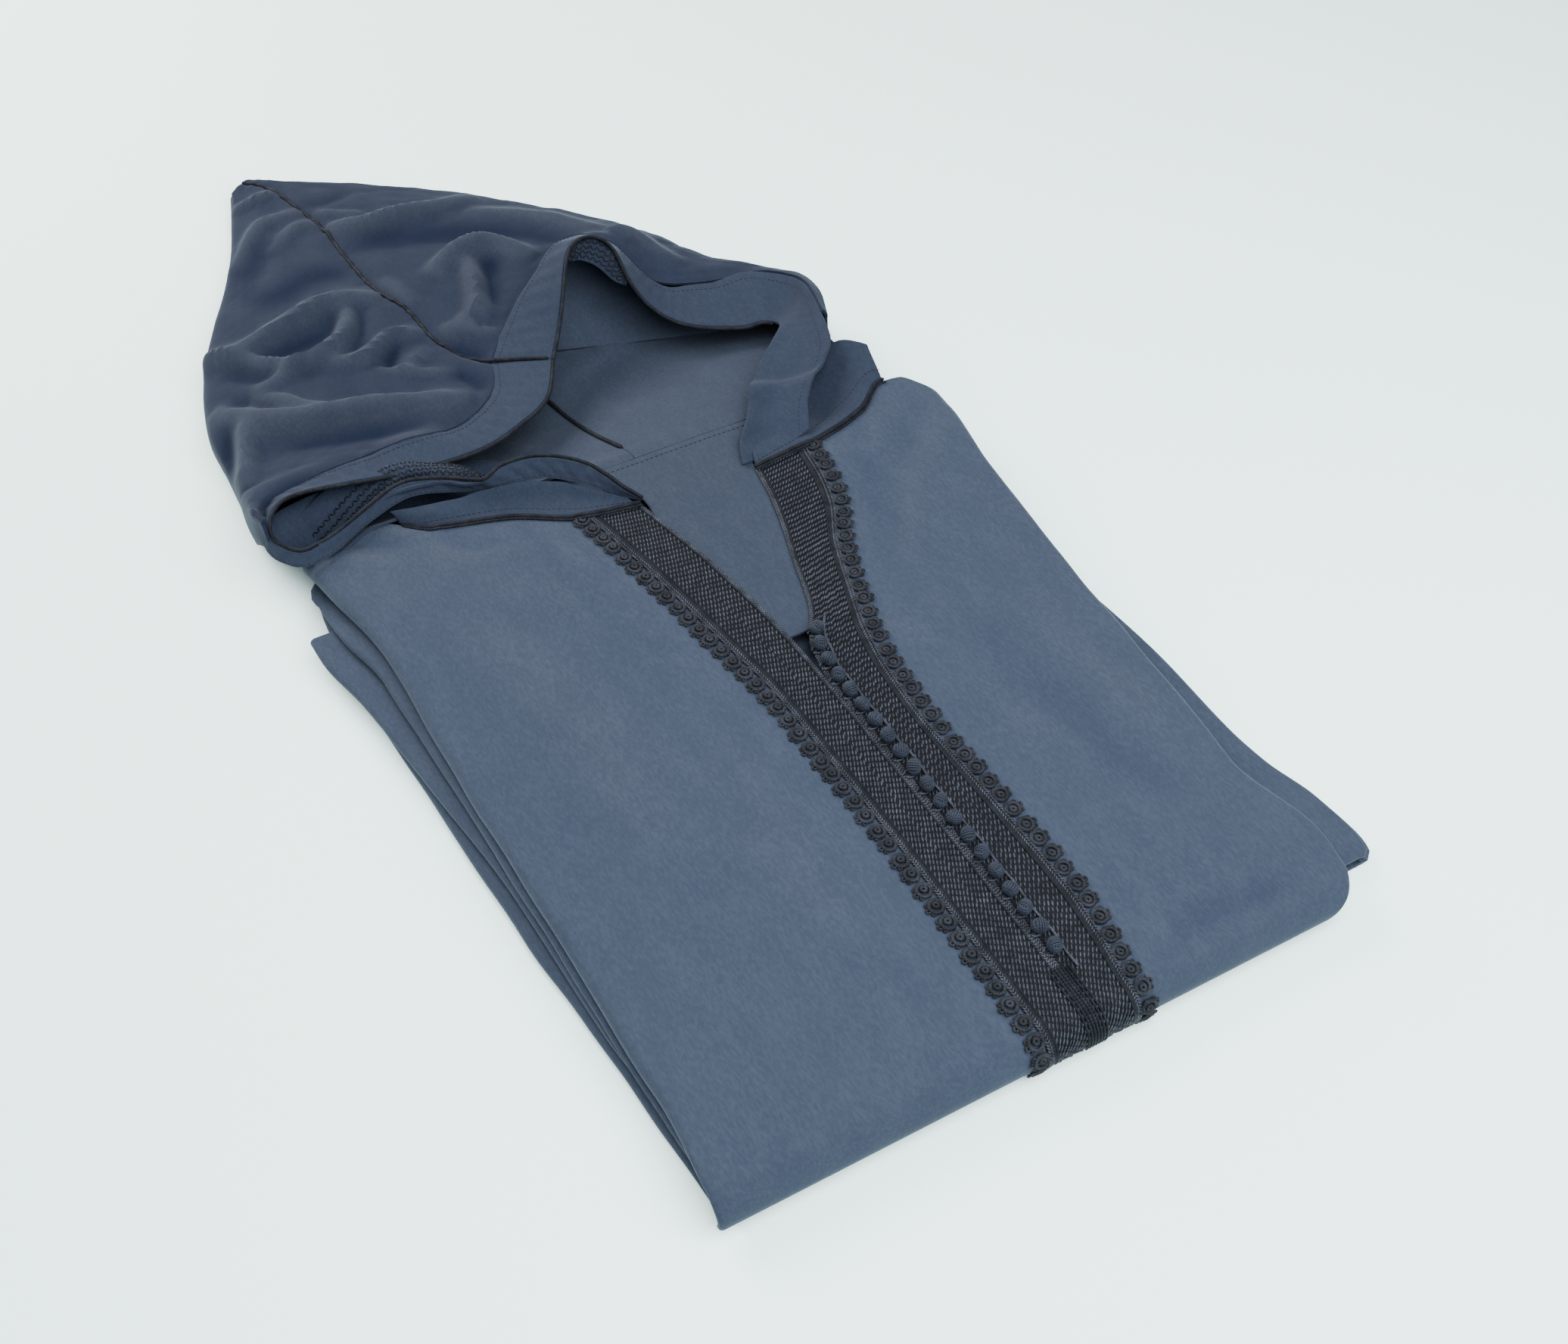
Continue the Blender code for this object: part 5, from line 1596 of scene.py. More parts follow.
NECK_CLEAR = 2.2
HEM_CLEAR = 0.2
CROWN_CLEAR = 0.4
BACK_SEAM_CLEAR = 0.3
HOOD_SHARES = (0.0, 0.2, 0.42, 0.64, 0.82)
HOOD_BULGE = 0.05
FOLD_LIFT = (1.5, 1.45)
UNDER_LIFTS = [
    # beyond the neckline, lift
    (7.0, 0.2),
    (0.4, SEAM_GAP),
]
UNDER_ROWS = 17
UNDER_STEPS = 5
HOOD_STEPS = (15, 16, 16, 13, 12, 5, 5)
LOWEST_HOOD = 2.6            # lowest that the hood's upper layer lies
CREST_HEIGHT = 8.0           # fold height over which the painted light on crests and the painted shade in troughs grow to full strength
CREST_START = 0.9            # fold height at which the cloth is painted neither lighter nor darker
STITCH_LIFT = 0.12           # how far a stitch's middle lies above its cloth
# Stitches: length, width, height, and the steps and sides of a coarser one.
SEWN = (2.3, 0.6, 0.6)
SEWN_NECKLINE = (2.4, 0.7, 0.7)
ZIGZAG = (3.4, 0.95, 0.9, 3, 4)
ZIGZAG_WIDE = (3.4, 1.2, 1.0, 3, 4)
ZIGZAG_DENSE = (3.8, 1.5, 1.0, 3, 4)
SEWN_PITCH = 0.0034          # steps between stitches in metres
ZIGZAG_PITCH = 0.0027
OUTER_STITCHES = (0.86,)     # stitched rows as shares of the hem's width from its rim
FACING_STITCHES = (0.10, 0.17, 0.24, 0.31)
HEM_SMOOTH = 5               # steps between the half rows of a hem
RIGHT_HEM_FREE = 15          # half row after which the hem leaves the hood cloth and doubles back
LEFT_HEM_FREE = 24


def beside(line, across, number, distance):
    """Point of a line moved square to it, towards another point on the strip it borders."""
    here = Vector(line[number])
    run = Vector(line[min(number + 1, len(line) - 1)]) - Vector(line[max(number - 1, 0)])
    width = Vector(across) - here
    width -= run * (width.dot(run) / run.dot(run))
    return tuple(here + width.normalized() * distance)


def hood_rows(hem, joins, sides, side):
    """Rows of one side of the hood, from its point to the neck, each from the crown seam outwards."""
    starts = [(x + side * CROWN_CLEAR, y, z) for x, y, z in CROWN[:-1]]
    half_rows = spline(hem, 2 * len(hem) - 1)
    joined = [row[3:] for row in half_rows]
    for number in joins:
        starts.append(beside(joined, half_rows[number][:3], number, -HEM_CLEAR))
    rows = []
    for start, (x1, y1, z1, foot) in zip(starts, sides):
        reach = math.hypot(x1 - start[0], y1 - start[1])
        inward = ((start[0] - x1) / reach, (start[1] - y1) / reach)
        tuck = min(3.0, 0.2 * reach)
        row = []
        for share in HOOD_SHARES:
            x, y, z = (a + (b - a) * share for a, b in zip(start, (x1, y1, z1 * FOLD_LIFT[0])))
            row.append((x, y, z + HOOD_BULGE * reach * math.sin(math.pi * share)))
        for inset, z in ((tuck, z1 * FOLD_LIFT[1]), (0.0, z1), (0.5 * tuck, foot)):
            row.append((x1 + inward[0] * inset, y1 + inward[1] * inset, z))
        rows.append(row)
    return rows


def add_hood_cloth():
    """The two sides of the hood, joined by the crown seam and lying in soft folds."""
    sides = (
        ("right", HEM_RIGHT, HOOD_RIGHT_JOINS, HOOD_RIGHT_SIDE, -1, (0.23, 0.42), 0.0700),
        ("left", HEM_LEFT, HOOD_LEFT_JOINS, HOOD_LEFT_SIDE, 1, (0.27, 0.5), 0.0740),
    )
    for side, hem, joins, edges, sign, flat, area in sides:
        rows = hood_rows(hem, joins, edges, sign)
        down = spread([9] * 7 + [6] * (len(rows) - 8))
        across = spread(HOOD_STEPS)
        grid = fine_grid(rows, down, across)
        fade = 1 - ease(across, 5.0, 6.8)
        grid[..., 2] += hood_relief(grid[..., 0], grid[..., 1]) * fade[None, :]
        grid[..., 2] = np.maximum(grid[..., 2], LOWEST_HOOD)
        grid = faced(grid, sign)
        piece = add_sheet("hood_cloth_" + side, grid, CLOTH, "hood_cloth_painted_shade", "brushed_cloth", "hood_" + side)
        # Painted light on the hood's fold crests and painted shade in its troughs.
        mark_painted_fold_shading(piece, (hood_relief(grid[..., 0], grid[..., 1]) - CREST_START) / CREST_HEIGHT)


HEMS = (
    # name, table, half row where it doubles back, side and flat size
    ("right", HEM_RIGHT, RIGHT_HEM_FREE, -1, (0.50, 0.022)),
    ("left", HEM_LEFT, LEFT_HEM_FREE, 1, (0.5, 0.034)),
)
LIMB_SWELL = 6.0             # how far the left hem's free limb bulges
LIMB_BUMPS = (
    # height, half rows beyond the limb's start, their slant across the hem, half width
    (2.4, 9, 1.6, 0.9),
    (-2.2, 11, 1.2, 1.0),
)
RIPPLE = 12.5                # spacing of the puckers along a hem


def hem_rows(hem, free):
    """Fine rows across a hem: free edge, points between, and the join that follows the hood's folds."""
    half_rows = spline(hem, 2 * len(hem) - 1)
    places = even(len(half_rows), HEM_SMOOTH)
    fine = through(half_rows, places)
    joined = fine[:, 3:].copy()
    follow = 1 - ease(places, free - 2.5, free + 0.5)
    joined[:, 2] += hood_relief(joined[:, 0], joined[:, 1]) * follow
    return fine[:, :3], joined, places


def hem_grid(hem, free, shares, lift=0.0):
    """Grid of a hem at shares of its width from the free edge, set off its middle by lift."""
    rim, joined, places = hem_rows(hem, free)
    shares = np.asarray(shares, float)[None, :]
    across = (joined - rim)[:, None]
    grid = rim[:, None] + across * shares[..., None]
    normal = grid_normals(rim[:, None] + across * np.array([0.0, 0.5, 1.0])[None, :, None])[:, 1:2]
    places = places[:, None] - free
    limb = ease(places, -0.4, 1.4) * (1.0 if hem is HEM_LEFT else 0.0)
    middle = np.sin(math.pi * shares)
    swell = LIMB_SWELL * limb * middle
    for height, start, slant, width in LIMB_BUMPS:
        swell += height * limb * np.exp(-((places - start - slant * shares) / width) ** 2)
    if hem is HEM_LEFT:
        swell -= 3.0 * np.exp(-((places + 0.9) / 0.7) ** 2)
    run = lengths_along(rim)[:, None]
    ripple = np.sin(2 * math.pi * run / RIPPLE + np.sin(run / 23)) * (1 - 0.85 * limb)
    pucker = 0.45 * ripple * middle + (0.3 + 0.7 * limb) * waves(HEM_WAVES, run, 40 * shares)
    edge = np.minimum(1.0, 4 * (1 - shares))
    return grid + normal * (pucker * edge + swell + lift)[..., None], normal


def add_hems():
    """Hem round the face opening, a doubled strip that stands and doubles back where the hood is open."""
    for side, hem, free, sign, flat in HEMS:
        grid, _ = hem_grid(hem, free, np.linspace(0, 1, 11))
        piece = add_sheet("hood_hem_cloth_" + side, faced(grid, sign), HEM, "hem_cloth_painted_shade", "brushed_cloth",
                          "hood_hem_" + side, grow=0.0)


def add_hem_stitches():
    """Rows of stitches on the hem: one beside its join outside, and a zigzag band inside its rim."""
    stitch, zigzag = stitch_shape(*SEWN), stitch_shape(*ZIGZAG)
    for side, hem, free, sign, _ in HEMS:
        lift = sign * (0.5 * HEM + STITCH_LIFT)
        grid, normal = hem_grid(hem, free, OUTER_STITCHES, -lift)
        lay_run("hem_stitches_" + side, [grid[:, 0]], [-sign * normal[:, 0]], stitch, "sewing_thread",
                "brushed_cloth", pitch=SEWN_PITCH, turn_wander=0.06, seed=3)
        grid, normal = hem_grid(hem, free, FACING_STITCHES, lift)
        count = len(FACING_STITCHES)
        lay_run("hem_facing_stitches_" + side, [grid[:, number] for number in range(count)],
                [sign * normal[:, 0]] * count, zigzag, "sewing_thread", "brushed_cloth",
                pitch=ZIGZAG_PITCH, slant=math.radians(52), alternate=1.0, turn_wander=0.06, seed=5)


NECK_SHAPE_RIGHT = [
    # seam_x, then the top of the strip and how far it bows up between
    (-22, -27, 456, 46, 0.8),
    (-40, -44, 473, 49.5, -2.0),
    (-58, -58, 488, 50.5, -4.0),
    (-78, -77, 500, 50, -4.5),
    (-96, -96, 507, 49, -3.0),
    (-125, -127, 514, 46, 0.8),
    (-156, -161, 525, 46, 1.6),
]
NECK_SHAPE_LEFT = [
    (62, 68, 452, 44, 1.0),
    (107, 112, 478, 36, -1.0),
    (130, 126, 506, 26, -5.0),
    (152, 152, 524, 33, -4.5),
    (170, 175, 523, 40.5, -0.5),
    (180, 187.5, 515, 44.5, 1.2),
    (187, 194, 502, 46.5, 1.6),
]


def neck_strip_rows(shape, top_line):
    """Rows of a strip that stands along the neck seam, edge to edge with the front."""
    rows = []
    for x, top_x, top_y, top_z, rise in spline(shape, 61):
        y = float(look_up(top_line, x, 1)) + NECK_CLEAR
        seam = pile_points(x, along_of(x, y), CLOTH + SEAM_GAP)
        top = np.array((top_x, top_y, top_z))
        bow = 0.5 * (seam + top) + np.array((0.0, 0.6, rise))
        curved = through([seam, bow, top], even(3, 7))
        uneven = waves(NECK_STRIP_WAVES, curved[:, 0], curved[:, 1])
        curved[:, 2] += uneven * np.linspace(0, 1, len(curved))
        rows.append(curved)
    return np.array(rows)


def add_neck_strips():
    """Strips of hood that stand along the neck seam, with a row of stitches."""
    stitch = stitch_shape(*SEWN)
    sides = (
        ("right", NECK_SHAPE_RIGHT, FRONT_RIGHT_TOP, -1, (0.15, 0.021)),
        ("left", NECK_SHAPE_LEFT, FRONT_LEFT_TOP, 1, (0.145, 0.042)),
    )
    for side, shape, top_line, sign, flat in sides:
        grid = neck_strip_rows(shape, top_line)[::sign].transpose(1, 0, 2)
        piece = add_sheet("neck_strip_" + side, grid, CLOTH, "hem_cloth_painted_shade", "brushed_cloth",
                          "hood_neck_" + side)
        normal = grid_normals(grid)[3]
        stitches = lay_run("neck_stitches_" + side, [grid[3] + normal * (CLOTH + STITCH_LIFT)], [normal],
                           stitch, "sewing_thread", "brushed_cloth", pitch=SEWN_PITCH, turn_wander=0.06,
                           seed=8)


# Hood cloth that turns over the hem's first pass on to its return pass: five points a row, from
# the piped edge back to where it goes under the hood.
HOOD_TURN = [
    [(-212, 520, 47.5), (-211, 525, 42), (-210, 536, 27), (-209, 550, 22.5), (-209, 568, 33)],
    [(-196, 522.5, 48.5), (-194, 528, 44), (-191, 541, 32), (-188, 555, 33), (-187, 571, 42)],
    [(-180, 528.5, 49.8), (-176, 535, 45.5), (-170, 548, 39), (-166, 559, 44), (-165, 569, 47.5)],
    [(-166, 533.5, 51.2), (-160, 543, 46), (-153, 551, 46.5), (-150, 558, 51), (-149, 567, 48)],
    [(-156, 534, 52.5), (-147, 547, 46), (-141, 548, 51), (-138, 555, 53), (-136, 564, 47.5)],
    [(-139, 531, 53.5), (-133, 541, 49), (-129, 543, 52.5), (-126, 550, 51), (-123, 560, 45.5)],
    [(-124, 525, 54.5), (-120, 531, 52), (-118, 536, 53.5), (-115, 544.5, 49.5), (-112, 552, 44.5)],
    [(-111, 513, 55.5), (-109, 522, 53.5), (-108, 526, 54.5), (-106, 532, 53), (-104, 538, 48)],
    [(-99, 508, 56.5), (-98, 511, 55.5), (-98, 513, 55), (-97, 515, 53), (-96, 518, 50)],
]
# Hood cloth inside the loop of the hem and below its return pass.
HOOD_HOLLOW = [
    [(-234, 541, 36), (-235, 548, 29), (-236, 556, 34)],
    [(-222, 520, 37), (-223, 547, 24), (-224, 573, 36)],
    [(-200, 517, 38), (-200, 546, 23), (-202, 576, 38)],
    [(-180, 524, 39), (-180, 548, 23), (-180, 575, 38)],
    [(-160, 522, 42), (-160, 545, 24), (-160, 574, 36)],
    [(-140, 517, 43), (-140, 540, 25), (-140, 570, 34)],
    [(-118, 508, 43), (-116, 535, 27), (-114, 560, 32)],
    [(-96, 496, 42), (-94, 524, 28), (-90, 562, 28)],
    [(-75, 480, 42), (-70, 508, 29), (-62, 550, 22)],
    [(-55, 463, 42), (-48, 490, 34), (-38, 530, 26)],
    [(-38, 455, 42), (-30, 474, 37), (-20, 505, 34)],
]
# Turned-in facing of the hem at the top of its arch: the piped edge, then the facing's lower edge.
ARCH_FACING = [
    [(47.5, 677.0, 71.0), (48.5, 675.4, 69.5), (49.5, 674.0, 68.0)],
    [(57.0, 685.6, 73.8), (56.6, 680.5, 69.8), (56.0, 675.6, 66.0)],
    [(66.7, 688.3, 74.4), (63.6, 680.3, 69.2), (60.4, 672.3, 65.0)],
    [(74.2, 685.2, 74.2), (69.4, 676.5, 68.0), (64.5, 668.7, 63.0)],
    [(80.9, 681.2, 71.4), (74.4, 672.4, 65.2), (67.9, 665.0, 60.0)],
    [(83.9, 674.0, 67.8), (77.4, 666.9, 61.5), (71.0, 660.9, 56.0)],
    [(85.3, 666.4, 62.4), (79.8, 661.2, 56.8), (74.6, 656.5, 52.0)],
    [(85.4, 656.6, 56.2), (83.2, 654.0, 52.4), (81.4, 651.2, 48.8)],
]
# Inside of the hood's far layer: its foot on the under layer, its middle and its top under the hem.
HOOD_WALL = [
    [(0, 676, 4), (-2, 686, 20), (4, 681, 42)],
    [(26, 664, 4), (26, 684, 24), (30, 692, 51)],
    [(45, 656.5, 4), (46, 688, 26), (50, 701, 58)],
    [(60, 650, 4), (67, 688, 26), (73, 703, 57)],
    [(80, 642, 4), (89, 680, 24), (93, 693, 49)],
    [(97, 635, 4.5), (102, 660, 20), (103, 671, 40)],
    [(115, 628, 5), (114, 648, 18), (111, 654, 34)],
    [(133, 620, 5), (130, 638, 18), (125, 643, 32)],
    [(148, 615, 5.5), (147, 631, 18), (144, 636, 32)],
    [(162, 610, 6), (164, 622, 18), (164, 627, 33)],
]
# Hood cloth that runs from the left side's near end in under the neck strip: foot, middle and top.
HOOD_RETURN = [
    [(183.5, 549, 3.2), (183.5, 549, 18), (182.5, 548, 34)],
    [(184.5, 534, 3.2), (186.0, 535, 19), (184.0, 534, 36)],
    [(180.5, 518, 3.2), (183.0, 519, 20), (181.0, 518, 37.5)],
    [(173.0, 503, 3.2), (175.0, 504, 20), (174.0, 503, 38)],
    [(165.0, 492, 3.2), (166.0, 492, 20), (165.0, 491, 38)],
]
TURN_ROWS = (4, 7, 10, 13, 16, 19)       # stitched rows of the cloth over the hem, and their lift
TURN_LIFT = 0.6
ARCH_ROWS = (2, 4, 6, 8)
ARCH_LIFT = 1.0


def add_patch(name, table, steps, material, slot, wall=CLOTH, uneven=None, turned=True):
    """Finished sheet through a small table of points, and its grid, whose rows the table's run down."""
    grid = fine_grid(table, even(len(table), steps[0]), even(len(table[0]), steps[1]))
    if uneven:
        grid[..., 2] += waves(uneven, grid[..., 0], grid[..., 1])
    grid = grid.transpose(1, 0, 2) if turned else grid
    return add_sheet(name, grid, wall, material, slot, grow=-1.0), grid


def dense_stitches(name, grid, rows, lift, outward, shape, pitch):
    """Dense zigzag along rows of a grid, on the side that an outward direction tells."""
    normal = grid_normals(grid)
    normal = np.where((normal @ outward)[..., None] > 0, normal, -normal)
    return lay_run(name, [grid[row] + normal[row] * lift for row in rows], [normal[row] for row in rows],
                   shape, "cord_thread", "brushed_cloth", pitch=pitch, slant=math.radians(55),
                   alternate=1.0, turn_wander=0.08, seed=5)


def add_hood_wall():
    """Inside of the hood's far layer, which rises from the crease in the under layer to the hem."""
    wall, _ = add_patch("hood_wall", HOOD_WALL, (7, 8), "cloth_wrong_side_and_shade", "cloth_inside",
                        uneven=(0.5, 24.0, 19))


def add_hood_return():
    """Hood cloth that closes the space between the hood's left side and the pile."""
    piece, _ = add_patch("hood_return", HOOD_RETURN, (8, 7), "hood_cloth_painted_shade", "brushed_cloth", turned=False)


def add_hood_turns():
    """Hood cloth that turns over at the near side: over the hem, inside its loop and at the arch."""
    turn, grid = add_patch("hood_turn", HOOD_TURN, (9, 6), "hem_cloth_painted_shade", "brushed_cloth",
                           uneven=(0.35, 18.0, 16))
    stitches = dense_stitches("hood_turn_stitches", grid, TURN_ROWS, TURN_LIFT, (0.0, 0.0, 1.0),
                              stitch_shape(*ZIGZAG_WIDE), 0.0026)
    hollow, _ = add_patch("hood_hollow", HOOD_HOLLOW, (6, 10), "hem_cloth_painted_shade", "cloth_inside",
                          uneven=(0.8, 26.0, 17))
    # The arch's facing takes the hood's darker finish as painted shade for the shadow inside the arch.
    facing, grid = add_patch("arch_facing", ARCH_FACING, (8, 5), "hood_cloth_painted_shade", "brushed_cloth", wall=0.8)
    stitches = dense_stitches("arch_facing_stitches", grid, ARCH_ROWS, ARCH_LIFT, (0.0, -1.0, 0.0),
                              stitch_shape(*ZIGZAG_DENSE), 0.0025)


def lining_rows(outer, side):
    """Rows of one side of the hood's under layer, from the neckline back to the point."""
    seam = [(x + side * BACK_SEAM_CLEAR, y, z) for x, y, z in BACK_SEAM]
    shares = np.arange(UNDER_STEPS + 1) / UNDER_STEPS
    rows = []
    for inner_point, outer_point in zip(spline(seam, UNDER_ROWS), spline(outer, UNDER_ROWS)):
        row = inner_point + (outer_point - inner_point) * shares[:, None]
        row[:, 2] = np.maximum(row[:, 2], 0.0)
        rows.append(row)
    start_x, end_x = side * BACK_SEAM_CLEAR, NECKLINE_LEFT if side > 0 else NECKLINE_RIGHT
    for beyond, lift in UNDER_LIFTS:
        rows.append(pile_points(start_x + (end_x - start_x) * shares, NECKLINE_ALONG + beyond, lift))
    return np.array(rows)


def add_hood_lining():
    """Under layer of the hood, which lies on the surface and shows through the face opening."""
    sides = (
        ("right", UNDER_RIGHT, -1, (0.23, 0.5), 0.078),
        ("left", UNDER_LEFT, 1, (0.19, 0.5), 0.062),
    )
    for side, outer, sign, flat, area in sides:
        rows = lining_rows(outer, sign)
        grid = fine_grid(rows, even(len(rows), 5), even(rows.shape[1], 9))
        near = 1 - ease(grid[..., 1], 640, 700)
        middle = np.sin(math.pi * np.linspace(0, 1, grid.shape[1]))[None, :] ** 0.7
        relief = fold_height(INSIDE_FOLDS, grid[..., 0], grid[..., 1])
        relief = relief + waves(LINING_WAVES, grid[..., 0], grid[..., 1])
        grid[..., 2] += np.maximum(relief, -0.2) * near * middle
        grid[..., 2] = np.maximum(grid[..., 2], 0.0)
        piece = add_sheet("hood_lining_" + side, faced(grid, sign), CLOTH, "cloth_wrong_side_and_shade", "cloth_inside",
                          "hood_inside_" + side)


def add_neckline_stitches():
    """Row of stitches that holds the hood to the back of the neck."""
    x = np.linspace(NECKLINE_RIGHT + 4, NECKLINE_LEFT - 4, 60)
    path = pile_points(x, NECKLINE_ALONG - 5, SEAM_GAP + CLOTH + 0.15)
    lay_run("back_neck_stitches", [path], [[(0.0, 0.0, 1.0)] * 60], stitch_shape(*SEWN_NECKLINE),
            "sewing_thread", "brushed_cloth", pitch=0.0035, seed=2)


# ---------------------------------------------------------------- cords on the seams

SEAM_CORD_FROM = 5           # first point of the inner seam that has a cord
SEAM_LAY = 4.4               # length of one turn of a laid cord's strands
SEAM_DEPTH = 0.24            # depth of the grooves between them, as a share of the cord
RIM_SHOWN = (len(HEM_RIGHT), 13)         # rows of each hem whose piped edge is not turned under
CORD_RISE = 2.0              # how far the neck cords rise over the end of a braid band


def rim_path(hem, free, shown):
    """Line just outside the free edge of a hem."""
    _, joined, places = hem_rows(hem, free)
    keep = places <= 2 * shown - 2
    joined = joined[keep]
    rim = hem_grid(hem, free, (0.0,))[0][keep, 0].tolist()
    return np.array([beside(rim, joined[n], n, -RIM_CORD - 0.3) for n in range(len(rim))])


def add_seam_cords():
    """Cords on the crown seam and on the seam inside the hood."""
    crown = through(CROWN, even(len(CROWN), 8))
    crown[:, 2] += hood_relief(crown[:, 0], crown[:, 1]) + CLOTH + 0.55 * SEAM_CORD
    cap = through([crown[-1], np.add(HEM_RIGHT[0][:3], (-1.0, 1.5, 1.2))], even(2, 8))
    cap[:, 2] += 0.5
    path = np.concatenate([crown, cap[1:]])
    closed_tube("crown_seam_cord", [cord_grid(path, 1.3 * SEAM_CORD, SEAM_LAY, SEAM_DEPTH)], "cord",
                "crown_cord")
    seam = through(BACK_SEAM[SEAM_CORD_FROM:], even(len(BACK_SEAM) - SEAM_CORD_FROM, 10))
    relief = np.maximum(fold_height(INSIDE_FOLDS, seam[:, 0], seam[:, 1]), 0.0)
    seam[:, 2] += CLOTH + 0.9 + relief * 0.1
    closed_tube("inner_seam_cord", [cord_grid(seam, 1.35 * SEAM_CORD, SEAM_LAY, SEAM_DEPTH)], "cord",
                "hood_seam_cord")


def add_rim_piping():
    """Laid cord along the free edge of each half of the hem."""
    for (side, hem, free, _, _), shown in zip(HEMS, RIM_SHOWN):
        path = rim_path(hem, free, shown)
        closed_tube("rim_cord_" + side, [cord_grid(path, RIM_CORD, 4.2, 0.16)], "cord", "rim_piping_" + side)


def neck_path(top_line, ends, offset, lift):
    """Line along the neck seam, moved towards the near fold by offset."""
    x = np.linspace(*ends, 60)
    y = look_up(top_line, x, 1) - offset
    return pile_points(x, along_of(x, y), lift)


def add_neck_cords():
    """Cords over the seam between the fronts and the hood: a laid cord and a finer smooth one."""
    sides = (
        ("right", FRONT_RIGHT_TOP, NECK_CORD_RIGHT, -38),
        ("left", FRONT_LEFT_TOP, NECK_CORD_LEFT, 82),
    )
    for side, top_line, ends, band_middle in sides:
        over_band = 1 - ease(np.abs(np.linspace(*ends, 60) - band_middle), 20, 28)
        lift = CLOTH + SEAM_GAP + NECK_CORD + CORD_RISE * over_band
        grids = [cord_grid(neck_path(top_line, ends, -0.3, lift), NECK_CORD, 4.0, 0.22),
                 cord_grid(neck_path(top_line, ends, 2.3, lift - 0.5), 0.8, 4.0, 0.06, 8)]
        closed_tube("neck_seam_cord_" + side, grids, "cord", "neck_cord_" + side)


# ---------------------------------------------------------------- the stage

FLOOR = 4.0                  # half the floor's width in metres
FLOOR_POINTS = 24            # along each side
FLOOR_DROP = 0.0004
CAMERA_PLACE = (-377.94, -300.11, 825.55)
CAMERA_RIGHT = (0.8476375, -0.5305759, 0.0)
CAMERA_UP = (0.4004307, 0.6397201, 0.6560590)
SENSOR = 36.0
LENS = 39.96
# Lamps: size, place and target in metres, and colour.
WINDOW = (1.4, (-0.62, 1.62, 1.25), (0.0, 0.1, 0.0), (1.0, 0.99, 0.97))
OVERHEAD = (1.7, (0.2, -0.95, 1.35), (0.0, -0.15, 0.0), (0.94, 0.97, 1.0))


def add_camera():
    """Camera above the robe's near right, looking down over the pile to the hood."""
    data = bpy.data.cameras.new("robe_camera")
    data.lens = LENS
    data.sensor_width = SENSOR
    data.clip_end = 30.0
    camera = bpy.data.objects.new("robe_camera", data)
    bpy.context.scene.collection.objects.link(camera)
    right, up = Vector(CAMERA_RIGHT).normalized(), Vector(CAMERA_UP).normalized()
    back = right.cross(up)
    for row in range(3):
        camera.matrix_world[row][:3] = (right[row], up[row], back[row])
    camera.matrix_world.translation = Vector(place(CAMERA_PLACE))
    bpy.context.scene.camera = camera


def add_area_light(name, power, size, spot, target, colour):
    """Soft square lamp that faces a point."""
    data = bpy.data.lights.new(name, "AREA")
    data.energy = power
    data.size = size
    data.color = colour
    lamp = bpy.data.objects.new(name, data)
    lamp.location = spot
    lamp.rotation_euler = (Vector(target) - Vector(spot)).to_track_quat("-Z", "Y").to_euler()
    bpy.context.scene.collection.objects.link(lamp)


def add_stage():
    """Pale floor, soft light from above and behind, and a pale surround."""
    stage = bpy.context.scene.robe_stage
    steps = FLOOR_POINTS
    side = np.linspace(-FLOOR, FLOOR, steps)
    mesh = bpy.data.meshes.new("studio_floor")
    mesh.from_pydata([(x, y, 0.0) for y in side for x in side], [], [
        (r * steps + c, r * steps + c + 1, (r + 1) * steps + c + 1, (r + 1) * steps + c)
        for r in range(steps - 1) for c in range(steps - 1)])
    floor_finish = bpy.data.materials.new("pale_floor")
    floor_finish.use_nodes = True
    wire = Wiring(floor_finish.node_tree)
    shader = floor_finish.node_tree.nodes["Principled BSDF"]
    spot = wire.add("ShaderNodeTexCoord").outputs["Object"]
    pale, shaded = tinted(stage.floor_colour, 1.0), tinted(stage.floor_colour, 0.97)
    wire.feed(wire.blend(wire.noise(spot, 1.6), pale, shaded), shader.inputs["Base Color"])
    shader.inputs["Roughness"].default_value = 0.75
    shader.inputs["Specular IOR Level"].default_value = 0.2
    floor = new_piece("studio_floor", mesh, floor_finish)
    floor.location.z = -FLOOR_DROP
    add_area_light("window", stage.key_power, *WINDOW)
    add_area_light("overhead", stage.fill_power, *OVERHEAD)
    world = bpy.data.worlds.new("studio_surround")
    world.use_nodes = True
    sky = world.node_tree.nodes["Background"]
    sky.inputs["Color"].default_value = (*stage.surround_colour, 1.0)
    sky.inputs["Strength"].default_value = stage.surround_power
    bpy.context.scene.world = world


# ---------------------------------------------------------------- settings, operators and panel

def colour_setting(name, description, default):
    """Setting for a colour."""
    return FloatVectorProperty(name=name, description=description, subtype="COLOR", size=3, min=0.0, max=1.0,
                               default=default)


def length_setting(name, description, low, high, default):
    """Setting for a length in metres."""
    return FloatProperty(name=name, description=description, subtype="DISTANCE", unit="LENGTH", min=low,
                         max=high, default=default)


def lamp_setting(name, description, default):
    """Setting for a lamp's power in watts."""
    return FloatProperty(name=name, description=description, unit="POWER", min=0.0, max=500.0,
                         default=default)


